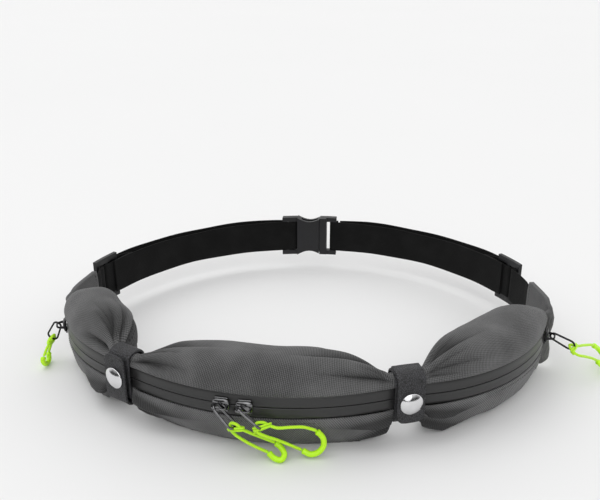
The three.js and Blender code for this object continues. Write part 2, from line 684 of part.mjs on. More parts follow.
for (const { name, arc, s, hang, yaw, cord, grip } of zips) {
  const group = facing([...arc.at(s), ZIP_Z], arc.angle(s));
  const pull = mesh(`${name}_pull`, pullGeometry(), GUNMETAL);
  pull.position.x = SLIDER.bailAt;
  pull.setRotationFromMatrix(pullTurn(hang, yaw));
  group.add(mesh(`${name}_slider`, sliderGeometry(), GUNMETAL), pull);
  pack.add(
    mesh(`${name}_cord`, tube(cord, CORD, 8, CORD_STEPS), LIME),
    mesh(`${name}_grip`, tube(grip, GRIP, 8, GRIP_STEPS), LIME),
  );
}

const wholePack = new THREE.Group();
wholePack.add(pack);
export default wholePack;
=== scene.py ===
# Looks of the waist pack: three zipped fabric pouches gathered at two snap straps, on an elastic belt.
# Metres, +Z up, in the CAD frame: the front faces -Y, the buckle is at +Y, the pouches stand on z = 0.
import math

import bmesh
import bpy
import numpy as np
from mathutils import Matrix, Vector


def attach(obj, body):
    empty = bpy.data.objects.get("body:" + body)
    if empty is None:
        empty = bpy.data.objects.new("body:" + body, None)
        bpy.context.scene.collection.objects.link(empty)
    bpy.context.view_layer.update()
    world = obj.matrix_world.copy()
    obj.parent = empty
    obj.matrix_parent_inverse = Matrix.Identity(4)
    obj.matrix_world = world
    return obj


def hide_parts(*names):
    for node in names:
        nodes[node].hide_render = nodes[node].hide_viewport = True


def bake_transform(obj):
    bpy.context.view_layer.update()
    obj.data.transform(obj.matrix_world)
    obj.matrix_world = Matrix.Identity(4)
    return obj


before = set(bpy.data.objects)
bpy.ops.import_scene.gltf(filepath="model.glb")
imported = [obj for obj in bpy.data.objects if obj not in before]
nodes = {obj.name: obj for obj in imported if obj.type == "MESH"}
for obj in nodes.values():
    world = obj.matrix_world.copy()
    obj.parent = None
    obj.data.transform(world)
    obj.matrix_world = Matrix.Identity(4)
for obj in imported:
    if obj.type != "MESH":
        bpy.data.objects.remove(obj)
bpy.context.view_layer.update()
scene = bpy.context.scene
UP = np.array((0.0, 0.0, 1.0))

# ---- driving sizes, in metres ----
PACK = np.array((-0.00571, -0.0004, 0.0))  # the CAD's plan origin, in the frame
BELT = (0.005, -0.03)  # centre of the belt's arc, in the CAD's plan
ZIP_Z = 0.033
TAPE_HEIGHT = 0.0076
TAPE_SLIT = 0.0002
SQUARENESS = 2.6
NECK_BACK, NECK_UP, NECK_DOWN, NECK_HALF = 0.0094, 0.0145, 0.016, 0.0102
WEB_LOW, WEB_HIGH, WEB_THICK = 0.019, 0.047, 0.0012
CORD_SIZE = 0.002
GRIP_SIZE = 0.004
INTO_GRIP = 0.0009  # how far each end of a cord goes into its grip
FABRIC_THICK = 0.0014
BACK_TOP, BACK_BOTTOM = math.radians(142), math.radians(222)


# ---- camera ----
def make_camera():
    data = bpy.data.cameras.new("camera")
    data.sensor_width = 36
    data.lens = 48
    camera = bpy.data.objects.new("camera", data)
    camera.location = (0.0592, -0.558, 0.306)
    camera.rotation_euler = (math.radians(90 - 22), 0, math.radians(7))
    scene.collection.objects.link(camera)
    scene.camera = camera


make_camera()


# ---- meshes ----
def unit(v):
    v = np.asarray(v, float)
    return v / max(np.linalg.norm(v), 1e-12)


def new_mesh(name, points, faces, loop_uv=None, smooth=True):
    mesh = bpy.data.meshes.new(name)
    mesh.from_pydata([tuple(p) for p in points], [], faces)
    if loop_uv is not None:
        layer = mesh.uv_layers.new(name="UVMap")
        layer.data.foreach_set("uv", np.array(loop_uv, np.float32).ravel())
    mesh.polygons.foreach_set("use_smooth", [smooth] * len(mesh.polygons))
    piece = bpy.data.objects.new(name, mesh)
    scene.collection.objects.link(piece)
    return piece


def grid(name, points, uv, closed=False, flip=False, caps=False):
    """Quads over rows by columns of points.
    Closed joins the last column to the first, and uv then has one column more."""
    rows, columns = points.shape[:2]
    faces, loop_uv = [], []
    for r in range(rows - 1):
        for c in range(columns if closed else columns - 1):
            n = (c + 1) % columns
            corners = [(r, c, c), (r, n, c + 1), (r + 1, n, c + 1), (r + 1, c, c)]
            if not flip:
                corners.reverse()
            faces.append([i * columns + j for i, j, _ in corners])
            loop_uv += [uv[i][k] for i, _, k in corners]
    if caps:
        for r in (0, rows - 1):
            ring = [r * columns + c for c in range(columns)]
            faces.append(ring)
            loop_uv += [uv[r][c] for c in range(columns)]
    piece = new_mesh(name, points.reshape(-1, 3), faces, loop_uv)
    return face_out(piece) if caps else piece


def face_out(piece, join=None):
    """Joins points closer than join, if given, and turns the faces outward."""
    made = bmesh.new()
    made.from_mesh(piece.data)
    if join:
        bmesh.ops.remove_doubles(made, verts=made.verts, dist=join)
    bmesh.ops.recalc_face_normals(made, faces=made.faces)
    made.to_mesh(piece.data)
    made.free()
    return piece


def bake(piece):
    """Applies the piece's modifiers."""
    graph = bpy.context.evaluated_depsgraph_get()
    mesh = bpy.data.meshes.new_from_object(piece.evaluated_get(graph))
    piece.modifiers.clear()
    piece.data = mesh
    return piece


def smooth_line(points, per_span=8):
    """A centripetal Catmull-Rom line through the points."""
    p = [np.asarray(q, float) for q in points]
    p = [2 * p[0] - p[1], *p, 2 * p[-1] - p[-2]]
    line = []
    for a, b, c, d in zip(p, p[1:], p[2:], p[3:]):
        gaps = [max(np.linalg.norm(v - u) ** 0.5, 1e-9) for u, v in ((a, b), (b, c), (c, d))]
        t0, t1, t2, t3 = 0, gaps[0], gaps[0] + gaps[1], sum(gaps)
        for i in range(per_span):
            t = t1 + (t2 - t1) * i / per_span
            ab = ((t1 - t) * a + (t - t0) * b) / (t1 - t0)
            bc = ((t2 - t) * b + (t - t1) * c) / (t2 - t1)
            cd = ((t3 - t) * c + (t - t2) * d) / (t3 - t2)
            abc = ((t2 - t) * ab + (t - t0) * bc) / (t2 - t0)
            bcd = ((t3 - t) * bc + (t - t1) * cd) / (t3 - t1)
            line.append(((t2 - t) * abc + (t - t1) * bcd) / (t2 - t1))
    return np.array([*line, p[-2]])


def run_length(line):
    steps = np.linalg.norm(np.diff(line, axis=0), axis=1)
    return np.concatenate([[0], np.cumsum(steps)])


def at_length(where, along, values):
    """Rows of values at the given lengths along a line."""
    return np.stack([np.interp(where, along, values[:, k]) for k in range(3)], -1)


def even_line(line, step):
    along = run_length(line)
    count = max(2, round(along[-1] / step)) + 1
    return at_length(np.linspace(0, along[-1], count), along, line)


def unit_rows(v):
    return v / np.maximum(np.linalg.norm(v, axis=-1), 1e-12)[..., None]


def headings(line, closed=False):
    """Unit directions along a line, at each of its points."""
    if closed:
        return unit_rows(np.roll(line, -1, 0) - np.roll(line, 1, 0))
    return unit_rows(np.gradient(line, axis=0))


def frames_along(line):
    """Two normals at each point, turning as little as possible."""
    tangents = headings(line)
    first = np.cross(tangents[0], UP)
    if np.linalg.norm(first) < 1e-3:
        first = np.cross(tangents[0], (1.0, 0.0, 0.0))
    sides = [unit(first)]
    for t in tangents[1:]:
        sides.append(unit(sides[-1] - np.dot(sides[-1], t) * t))
    return np.array(sides), np.cross(tangents, sides)


def loop_outward(line, flat):
    """Normals of a closed line that lies across flat, away from its middle."""
    outward = np.cross(headings(line, closed=True), flat)
    inward = np.einsum("ij,ij->i", outward, line - line.mean(0)).mean() < 0
    return -outward if inward else outward


def tube(name, line, radius, sides):
    """A round rod along a line, radius a number or one for each point."""
    radius = np.broadcast_to(radius, len(line))
    a, b = frames_along(line)
    turn = (np.arange(sides) * 2 * math.pi / sides)[:, None]
    ring = a[:, None] * np.cos(turn) + b[:, None] * np.sin(turn)
    points = line[:, None] + ring * radius[:, None, None]
    uv = [[(u, v / sides) for v in range(sides + 1)] for u in run_length(line)]
    return grid(name, points, uv, closed=True, caps=True)


def rounded_section(width, thick, corner, steps=4, wave=0.0):
    """Points round a flat section, as (across, out)."""
    points = []
    for cx, cy, start in ((1, -1, -90), (1, 1, 0), (-1, 1, 90), (-1, -1, 180)):
        for i in range(steps + 1):
            turn = math.radians(start + 90 * i / steps)
            x = cx * (width / 2 - corner) + corner * math.cos(turn)
            y = cy * (thick / 2 - corner) + corner * math.sin(turn)
            points.append((x, y))
    extra = 5  # points along each flat face, so that it can bend and carry a wave
    full = []
    for (x0, y0), (x1, y1) in zip(points, points[1:] + points[:1]):
        full.append((x0, y0))
        if abs(x1 - x0) > width / 2:
            for i in range(1, extra + 1):
                t = i / (extra + 1)
                full.append((x0 + (x1 - x0) * t, y0 + (y1 - y0) * t + wave * math.sin(math.pi * t)))
    return np.array(full)


def sweep(name, line, across, out, sections, closed=False):
    """A closed section, or one for each point, swept along a line; its points are (across, out)."""
    line = np.asarray(line, float)
    across = np.broadcast_to(across, line.shape)
    out = np.broadcast_to(out, line.shape)
    sections = np.broadcast_to(sections, (len(line), *np.shape(sections)[-2:]))
    points = line[:, None] + across[:, None] * sections[..., :1] + out[:, None] * sections[..., 1:]
    along = run_length(line)
    ring = sections[len(line) // 2]
    steps = np.linalg.norm(np.diff(np.vstack([ring, ring[:1]]), axis=0), axis=1)
    around = np.concatenate([[0], np.cumsum(steps)])
    if closed:
        points = np.concatenate([points, points[:1]])
        along = np.append(along, along[-1] + np.linalg.norm(line[0] - line[-1]))
    uv = [[(u, v) for v in around] for u in along]
    piece = grid(name, points, uv, closed=True, caps=not closed)
    return face_out(piece, 1e-6) if closed else piece


def rounded_ends(line, radius, collar=0.0, collar_length=0.0):
    """Radii that round a rod's two ends off, with a thicker collar by each end if asked."""
    along = run_length(line)
    from_end = np.minimum(along, along[-1] - along)
    size = np.full(len(line), radius)
    if collar:
        size += collar * np.clip(1.5 - from_end / collar_length, 0, 1)
    near = np.clip(from_end / (radius * 0.6), 0, 1)
    return size * np.sqrt(np.clip(1 - (1 - near) ** 2, 0.05, 1))


def turned(name, profile, sides, place, out, up):
    """A turned piece from (radius, height) pairs; its axis points along out."""
    out, up = unit(out), unit(up)
    side = np.cross(out, up)
    turn = np.arange(sides) * 2 * math.pi / sides
    points = np.array([
        [place + h * out + r * (math.cos(t) * up + math.sin(t) * side) for t in turn]
        for r, h in profile
    ])
    uv = [[(r, k / sides) for k in range(sides + 1)] for r, _ in profile]
    return grid(name, points, uv, closed=True, caps=True)


def join_pieces(name, pieces):
    """One object from several, keeping their materials."""
    for o in bpy.context.selected_objects:
        o.select_set(False)
    for o in pieces:
        o.select_set(True)
    bpy.context.view_layer.objects.active = pieces[0]
    bpy.ops.object.join()
    pieces[0].name = name
    pieces[0].data.name = name
    return pieces[0]


# ---- materials ----
class Nodes:
    """Short ways to add nodes to a tree."""

    def __init__(self, tree):
        self.tree = tree

    def add(self, kind, inputs=(), **settings):
        node = self.tree.nodes.new(kind)
        for key, value in settings.items():
            setattr(node, key, value)
        for key, value in dict(inputs).items():
            self.put(value, node.inputs[key])
        return node

    def put(self, value, socket):
        if isinstance(value, bpy.types.NodeSocket):
            self.tree.links.new(value, socket)
        else:
            socket.default_value = value

    def math(self, operation, a, b=0.0, c=0.0):
        return self.add("ShaderNodeMath", {0: a, 1: b, 2: c}, operation=operation).outputs[0]

    def ramp(self, value, low, high, to_low=0.0, to_high=1.0):
        inputs = {"Value": value, "From Min": low, "From Max": high, "To Min": to_low, "To Max": to_high}
        return self.add("ShaderNodeMapRange", inputs).outputs[0]

    def noise(self, vector, scale, detail=3.0, rough=0.5):
        inputs = {"Vector": vector, "Scale": scale, "Detail": detail, "Roughness": rough}
        return self.add("ShaderNodeTexNoise", inputs).outputs["Fac"]

    def bands(self, vector, pitch, direction="X", distortion=0.0, turn=0.0):
        """Sine bands, one every pitch metres."""
        turned_to = self.add("ShaderNodeMapping", {"Vector": vector, "Rotation": (0, 0, turn)})
        inputs = {
            "Vector": turned_to.outputs[0],
            "Scale": math.pi / 10 / pitch,
            "Distortion": distortion,
            "Detail": 1.0,
            "Detail Scale": 1.0,
        }
        return self.add("ShaderNodeTexWave", inputs, bands_direction=direction).outputs["Fac"]

    def mix(self, share, a, b):
        node = self.add("ShaderNodeMix", data_type="RGBA")
        self.put(share, node.inputs[0])
        self.put(a, node.inputs[6])
        self.put(b, node.inputs[7])
        return node.outputs[2]

    def uv(self):
        return self.add("ShaderNodeUVMap", uv_map="UVMap").outputs[0]

    def place(self):
        return self.add("ShaderNodeTexCoord").outputs["Object"]


class Shader(Nodes):
    """A material with a principled shader."""

    def __init__(self, name, **values):
        self.material = bpy.data.materials.new(name)
        self.material.use_nodes = True
        super().__init__(self.material.node_tree)
        self.shader = self.tree.nodes["Principled BSDF"]
        for key, value in values.items():
            self.shader.inputs[key.replace("_", " ")].default_value = value

    def colour(self, value):
        self.put(value, self.shader.inputs["Base Color"])

    def rough(self, value):
        self.put(value, self.shader.inputs["Roughness"])

    def bump(self, height, depth, strength=1.0, under=None):
        inputs = {"Height": height, "Distance": depth, "Strength": strength}
        if under is not None:
            inputs["Normal"] = under
        made = self.add("ShaderNodeBump", inputs).outputs[0]
        self.tree.links.new(made, self.shader.inputs["Normal"])
        return made


def grey(value):
    return (value, value, value * 1.01, 1)


def fabric_material(name, light, dark, pitch=0.0011, lean=0.2):
    """Ribbed stretch fabric: fine leaning ribs, broken by courses, and painted shade that makes it darker
    in the gathers' creases.
    """
    s = Shader(name, Roughness=0.85, Sheen_Weight=0.12, Sheen_Roughness=0.45)
    uv, place = s.uv(), s.place()
    rib = s.bands(uv, pitch, turn=lean, distortion=0.6)
    course = s.bands(uv, pitch * 0.8, direction="Y", turn=lean, distortion=0.8)
    weave = s.math("MULTIPLY_ADD", rib, 0.7, s.math("MULTIPLY", course, 0.3))
    fuzz = s.noise(place, 1800, 2.0, 0.6)
    patch = s.noise(place, 38, 3.0, 0.55)
    tone = s.math("MULTIPLY_ADD", weave, 0.62, s.math("MULTIPLY", fuzz, 0.3))
    tone = s.math("ADD", tone, s.ramp(patch, 0.3, 0.7, -0.12, 0.12))
    base = s.mix(s.ramp(tone, 0.18, 0.78), grey(dark), grey(light))
    # Painted shade: the per-point attribute read here pulls the colour towards a deeper dark in the
    # gathers' creases.
    crease_shade = s.add("ShaderNodeAttribute", attribute_name="crease_shade").outputs["Fac"]
    s.colour(s.mix(s.math("MULTIPLY", crease_shade, 0.85), base, grey(dark * 0.3)))
    s.rough(s.ramp(fuzz, 0.3, 0.7, 0.78, 0.95))
    under = s.bump(weave, 0.00028, 0.9)
    s.bump(fuzz, 0.0001, 0.4, under)
    return s.material


def lining_material():
    """Spacer mesh against the back: rows of small round holes."""
    s = Shader("pouch_lining", Roughness=0.92, Sheen_Weight=0.08, Sheen_Roughness=0.5)
    uv = s.uv()
    cells = s.add("ShaderNodeTexVoronoi", {"Vector": uv, "Scale": 420.0, "Randomness": 0.25})
    hole = s.ramp(cells.outputs["Distance"], 0.22, 0.42)
    fuzz = s.noise(s.place(), 1500, 2.0)
    tone = s.math("MULTIPLY", hole, s.ramp(fuzz, 0.2, 0.8, 0.7, 1.0))
    s.colour(s.mix(tone, grey(0.012), grey(0.05)))
    s.bump(hole, 0.0004, 0.7)
    return s.material


def tape_material():
    """Coated zip tape: smooth film, faintly streaked along its length."""
    s = Shader("zip_film", Roughness=0.4, Coat_Weight=0.15, Coat_Roughness=0.3)
    uv = s.uv()
    stretched = s.add("ShaderNodeMapping", {"Vector": uv, "Scale": (60, 900, 1)}).outputs[0]
    streak = s.noise(stretched, 1.0, 3.0, 0.6)
    grain = s.noise(s.place(), 2600, 2.0)
    s.colour(s.mix(streak, grey(0.009), grey(0.02)))
    s.rough(s.ramp(streak, 0.2, 0.8, 0.36, 0.5))
    s.bump(grain, 0.00005, 0.5)
    return s.material


def webbing_material():
    """Knitted elastic: fine courses across, rubber threads along, a firmer edge."""
    s = Shader("elastic_webbing", Roughness=0.85, Specular_IOR_Level=0.2, Sheen_Weight=0.02)
    s.shader.inputs["Sheen Roughness"].default_value = 0.4
    uv, place = s.uv(), s.place()
    thread = s.bands(uv, 0.0011, direction="Y", distortion=0.3)
    course = s.bands(uv, 0.0008, distortion=0.9)
    knit = s.math("MULTIPLY", thread, course)
    fleck = s.ramp(s.noise(place, 2400, 2.0, 0.7), 0.52, 0.75)
    patch = s.ramp(s.noise(place, 55, 3.0), 0.3, 0.7, -0.2, 0.2)
    tone = s.math("ADD", s.math("MULTIPLY_ADD", knit, 0.55, s.math("MULTIPLY", fleck, 0.5)), patch)
    s.colour(s.mix(s.ramp(tone, 0.0, 1.0), grey(0.0022), grey(0.014)))
    under = s.bump(knit, 0.00022, 0.8)
    s.bump(fleck, 0.0001, 0.4, under)
    return s.material


def leather_material():
    """Grained black leather, a little glossier where it is rubbed."""
    s = Shader("neck_leather", Roughness=0.55, Specular_IOR_Level=0.45)
    place = s.place()
    cells = s.add("ShaderNodeTexVoronoi", {"Vector": place, "Scale": 800.0}, feature="DISTANCE_TO_EDGE")
    grain = s.ramp(cells.outputs["Distance"], 0.0, 0.22)
    broad = s.noise(place, 160, 4.0, 0.6)
    fine = s.noise(place, 3000, 2.0)
    s.colour(s.mix(s.ramp(s.math("MULTIPLY", grain, broad), 0.1, 0.5), grey(0.006), (0.05, 0.05, 0.056, 1)))
    s.rough(s.ramp(broad, 0.3, 0.7, 0.42, 0.68))
    under = s.bump(grain, 0.0002, 0.9)
    s.bump(fine, 0.00004, 0.4, under)
    return s.material


def plastic_material():
    """Moulded nylon with a fine spark texture."""
    s = Shader("moulded_nylon", Roughness=0.4, Specular_IOR_Level=0.38)
    place = s.place()
    spark = s.noise(place, 2600, 3.0, 0.6)
    smear = s.noise(place, 90, 3.0)
    s.colour(s.mix(smear, grey(0.006), (0.012, 0.012, 0.015, 1)))
    s.rough(s.ramp(smear, 0.3, 0.7, 0.36, 0.5))
    s.bump(spark, 0.00006, 0.6)
    return s.material


def metal_material(name, low, high, rough, scratch=0.15):
    s = Shader(name, Metallic=1.0)
    place = s.place()
    cloud = s.noise(place, 220, 3.0)
    stretched = s.add("ShaderNodeMapping", {"Vector": place, "Scale": (400, 400, 4000)}).outputs[0]
    line = s.noise(stretched, 1.0, 2.0)
    s.colour(s.mix(cloud, low, high))
    s.rough(s.ramp(cloud, 0.2, 0.8, rough, rough + scratch))
    s.bump(line, 0.00001, 0.3)
    return s.material


def cord_material():
    """Braided lime cord: two sets of strands crossing round it."""
    s = Shader("lime_braid", Roughness=0.5, Sheen_Weight=0.15, Subsurface_Weight=0.05)
    s.shader.inputs["Subsurface Scale"].default_value = 0.0008
    uv = s.uv()
    metres = s.add("ShaderNodeMapping", {"Vector": uv, "Scale": (1, 0.0063, 1)}).outputs[0]
    one = s.bands(metres, 0.0008, turn=0.75)
    other = s.bands(metres, 0.0008, turn=-0.75)
    braid = s.math("MAXIMUM", one, other)
    s.colour(s.mix(braid, (0.34, 0.66, 0.001, 1), (0.58, 1.0, 0.006, 1)))
    s.bump(braid, 0.00012, 0.7)
    return s.material


def grip_material():
    """Moulded lime rubber, faintly mottled."""
    s = Shader("lime_rubber", Roughness=0.42, Coat_Weight=0.1, Coat_Roughness=0.3, Subsurface_Weight=0.1)
    s.shader.inputs["Subsurface Scale"].default_value = 0.001
    place = s.place()
    cloud = s.noise(place, 300, 3.0)
    s.colour(s.mix(cloud, (0.48, 0.9, 0.002, 1), (0.56, 1.0, 0.005, 1)))
    s.rough(s.ramp(cloud, 0.3, 0.7, 0.36, 0.5))
    s.bump(s.noise(place, 2400, 2.0), 0.00003, 0.4)
    return s.material


def thread_material():
    s = Shader("sewing_thread", Roughness=0.6, Sheen_Weight=0.2)
    twist = s.bands(s.place(), 0.0004, direction="DIAGONAL")
    s.colour(s.mix(twist, grey(0.02), grey(0.075)))
    s.bump(twist, 0.00005, 0.6)
    return s.material


FABRIC = fabric_material("pouch_fabric", 0.16, 0.024)
FABRIC_LOW = fabric_material("pouch_fabric_lower", 0.2, 0.035, lean=0.8)
HEM = fabric_material("hem_fabric", 0.17, 0.05, pitch=0.0012, lean=0.9)
LINING = lining_material()
FILM = tape_material()
ELASTIC = webbing_material()
LEATHER = leather_material()
PLASTIC = plastic_material()
CHROME = metal_material("snap_chrome", (0.62, 0.62, 0.63, 1), (0.8, 0.8, 0.81, 1), 0.1, 0.06)
GUNMETAL = metal_material("gunmetal", (0.13, 0.13, 0.135, 1), (0.24, 0.24, 0.245, 1), 0.06, 0.08)
BLACK_METAL = metal_material("black_metal", (0.015, 0.015, 0.016, 1), (0.045, 0.045, 0.046, 1), 0.28)
BRAID = cord_material()
RUBBER = grip_material()
THREAD = thread_material()


def dress(piece, material, body, slot_name, *replaced):
    piece.data.materials.clear()
    piece.data.materials.append(material)
    if isinstance(body, str):
        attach(piece, body)
    else:
        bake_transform(piece)
    if replaced:
        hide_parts(*replaced)
    return piece


# ---- plan curves ----
class Arc:
    """The arc through three plan points; at(s, out) runs from the first, s = 0, to the last, s = 1."""

    def __init__(self, a, b, c):
        (ax, ay), (bx, by), (cx, cy) = a, b, c
        d = 2 * (ax * (by - cy) + bx * (cy - ay) + cx * (ay - by))
        p, q, r = ax * ax + ay * ay, bx * bx + by * by, cx * cx + cy * cy
        self.x = (p * (by - cy) + q * (cy - ay) + r * (ay - by)) / d
        self.y = (p * (cx - bx) + q * (ax - cx) + r * (bx - ax)) / d
        self.radius = math.hypot(ax - self.x, ay - self.y)
        self.first = math.atan2(ay - self.y, ax - self.x)
        self.sweep = math.atan2(cy - self.y, cx - self.x) - self.first
        self.length = abs(self.sweep) * self.radius

    def angle(self, s):
        return self.first + self.sweep * s

    def at(self, s, out=0.0, z=0.0):
        """Points in the frame, from arrays of s, out and height."""
        s, out, z = np.broadcast_arrays(s, out, z)
        reach = self.radius + out
        x = self.x + reach * np.cos(self.angle(s))
        y = self.y + reach * np.sin(self.angle(s))
        return np.stack([x, y, z], -1) + PACK


NECK_LEFT, NECK_RIGHT = (-0.107, -0.116), (0.0792, -0.1212)
CENTRE_ARC = Arc(NECK_LEFT, (-0.014, -0.1455), NECK_RIGHT)
LEFT_ARC = Arc(NECK_LEFT, (-0.149, -0.087), (-0.1735, -0.047))
RIGHT_ARC = Arc(NECK_RIGHT, (0.144, -0.087), (0.179, -0.0205))


def on_belt(side, degrees, radius, z=0.0):
    """Points on the belt: degrees up from that side's horizontal, and plan radius."""
    turn = np.radians(np.asarray(degrees, float))
    turn, radius, z = np.broadcast_arrays(turn, radius, z)
    x = BELT[0] + side * radius * np.cos(turn)
    y = BELT[1] + radius * np.sin(turn)
    return np.stack([x, y, z], -1) + PACK


# ---- cords ----
def placed(points):
    """Points of the CAD's plan, in millimetres, in the frame."""
    return [PACK + np.array(p) / 1000 for p in points]


# Each cord runs from one end of its grip up through its pull and back to the grip's other end.
CORDS = {
    "left_end": (
        [
            (-187.7, -62.1, 10.4), (-186.6, -59.8, 14), (-185.3, -57, 17.6), (-184, -55.6, 21.2),
            (-182.8, -53.1, 22.9), (-183.4, -50.2, 21.2), (-185.4, -49.4, 17.4), (-187, -51, 13),
            (-187.9, -53.4, 9),
        ],
        [
            (-188, -62.8, 9.6), (-188.4, -63.6, 6.4), (-188.2, -61.8, 3.2), (-187.6, -58.4, 2.2),
            (-187.8, -55.2, 3.4), (-188.2, -53.8, 6), (-188.1, -53.8, 8.3),
        ],
    ),
    "centre_left": (
        [
            (-1.8, -146.6, 9.2), (-8, -148.5, 13), (-15, -151, 17.5), (-20.5, -153.2, 21.8),
            (-23.8, -153.3, 24.9), (-27.3, -152.2, 24.7), (-28, -152.2, 20.8), (-25.2, -152.7, 17.4),
            (-19, -152.9, 13), (-12, -152.2, 8.6), (-5.4, -151.2, 5),
        ],
        [
            (-1, -146.5, 8.9), (3.2, -148.4, 6.4), (5.3, -151.5, 4), (3.8, -154.6, 2.4), (-0.4, -154, 2.6),
            (-4.7, -151.2, 4.6),
        ],
    ),
    "centre_right": (
        [
            (23.9, -145, 18.9), (17, -147.3, 22.2), (9, -149.8, 23.2), (1, -150.6, 22.6),
            (-4, -149.8, 23.4), (-7.9, -150.2, 25.5), (-11.9, -151.7, 25.3), (-11.2, -153.9, 21.4),
            (-6.5, -153.2, 18), (1, -151.2, 14.2), (8.5, -149.2, 9.8), (14.9, -147.5, 5.9),
        ],
        [
            (24.5, -144.7, 18.2), (28.4, -144.4, 13.5), (29, -145.3, 8.6), (26.3, -147, 4.8),
            (21.4, -148, 3.2), (15.7, -147.3, 5.3),
        ],
    ),
    "right_end": (
        [
            (218.1, -7.5, 16.3), (214.7, -12.3, 19), (207.7, -20.3, 22.5), (201.7, -27.8, 25.6),
            (197.9, -31.6, 28.2), (194.6, -33.5, 29), (195.7, -36.9, 26.6), (199.7, -37.7, 23.8),
            (206.7, -32.7, 20), (213.4, -26.2, 15.4), (218, -21.7, 11.5),
        ],
        [
            (218.6, -6.6, 15.5), (222.9, -1.7, 10.9), (227.4, -2, 6), (229.5, -7.9, 2.8),
            (226.9, -14.9, 2.8), (222.3, -19.6, 6.8), (218.6, -21.5, 10.5),
        ],
    ),
}


def cord_wrap(zip_name, line):
    """Two turns of cord that hold the loop's strands together just below the pull."""
    along = run_length(line)
    top = along[np.argmax(line[:, 2])]
    one, other, near = at_length(top + np.array((-0.0062, 0.0062, 0.0042)), along, line)
    apart = unit(other - one)
    down = unit(other - near)
    down = unit(down - np.dot(down, apart) * apart)
    over = np.cross(apart, down)
    middle = (one + other) / 2
    half = np.linalg.norm(other - one) / 2
    turns = []
    for k in range(49):
        turn = 2 * math.pi * k / 24
        reach = (half + CORD_SIZE * 0.75) * math.cos(turn)
        rise = CORD_SIZE * 0.85 * math.sin(turn)
        turns.append(middle + reach * apart + rise * over + CORD_SIZE * 0.75 * (k / 24 - 1) * down)
    return tube(f"{zip_name}_cord_wrap", np.array(turns), CORD_SIZE * 0.36, 8)


def make_cord(zip_name, route, grip_route):
    body = f"{zip_name}_cord"
    points = placed(route)
    points[0] = points[0] + INTO_GRIP * unit(points[0] - points[1])
    points[-1] = points[-1] + INTO_GRIP * unit(points[-1] - points[-2])
    line = even_line(smooth_line(points), 0.0007)
    cord = tube(f"{zip_name}_braided_cord", line, rounded_ends(line, CORD_SIZE / 2), 12)
    grip_line = even_line(smooth_line(placed(grip_route)), 0.0005)
    radius = rounded_ends(grip_line, GRIP_SIZE / 2 * 0.93, GRIP_SIZE / 2 * 0.12, 0.0016)
    grip = tube(f"{zip_name}_moulded_grip", grip_line, radius, 20)
    wrap = cord_wrap(zip_name, line)
    dress(cord, BRAID, body, "lime_cord", f"{zip_name}_cord")
    dress(wrap, BRAID, body, "lime_cord")
    dress(grip, RUBBER, body, "lime_cord", f"{zip_name}_grip")


for zip_name, (route, grip_route) in CORDS.items():
    make_cord(zip_name, route, grip_route)


# ---- pouches ----
class Pouch:
    """A pouch's run along its zip, with the same driving sizes as its CAD panels."""

    def __init__(self, name, arc, depth, up, down, steep, end, end_depth, end_down, end_flat):
        self.name, self.arc = name, arc
        self.depth, self.up, self.down, self.steep = depth, up, down, steep
        self.end, self.end_depth, self.end_down, self.end_flat = end, end_depth, end_down, end_flat

    def swell(self, s):
        run = self.arc.length
        t = np.clip((s * run - NECK_HALF) / (run - NECK_HALF - self.end_flat), 0, 1)
        rise = 1 - np.clip(1 - 2 * t, 0, 1) ** self.steep
        fall = 1 - np.clip(2 * t - 1, 0, 1) ** self.end
        return np.where(t < 0.5, rise, fall)

    def section(self, s, turn):
        """How far out from the zip line, and how high, a point of the section is."""
        full = self.swell(s)
        thin = np.where(s < 0.5, NECK_BACK, self.end_depth)
        half = (thin + (self.depth - thin) * full) / 2
        neck_down = np.where(s < 0.5, NECK_DOWN, self.end_down)
        above = NECK_UP + (self.up - NECK_UP) * full
        below = neck_down + (self.down - neck_down) * full
        height = np.where(np.sin(turn) > 0, above, below)
        power = 2 / SQUARENESS
        c, z = np.cos(turn), np.sin(turn)
        out = -half + half * np.sign(c) * np.abs(c) ** power
        return out, ZIP_Z + height * np.sign(z) * np.abs(z) ** power

    def turn_at_tape(self, s, sign):
        full = self.swell(s)
        neck = NECK_UP if sign > 0 else np.where(s < 0.5, NECK_DOWN, self.end_down)
        height = neck + ((self.up if sign > 0 else self.down) - neck) * full
        edge = TAPE_HEIGHT + 0.0009
        return np.arcsin(np.clip(edge / height, 0, 1) ** (SQUARENESS / 2))

    def surface(self, s, turn):
        out, up = self.section(s, turn)
        return self.arc.at(s, out, np.maximum(up, 0.0))


POUCHES = [
    Pouch("left", LEFT_ARC, 0.040, 0.0295, 0.0342, 3.4, 7, 0.009, 0.0334, 0.0),
    Pouch("centre", CENTRE_ARC, 0.038, 0.0285, 0.0342, 4.4, 4.6, NECK_BACK, NECK_DOWN, NECK_HALF),
    Pouch("right", RIGHT_ARC, 0.041, 0.0275, 0.0342, 3.4, 4, 0.009, 0.0334, 0.0),
]
STRAP_EDGE = 0.0096  # from a neck's middle to where its strap ends


def smoothstep(x):
    x = np.clip(x, 0, 1)
    return x * x * (3 - 2 * x)


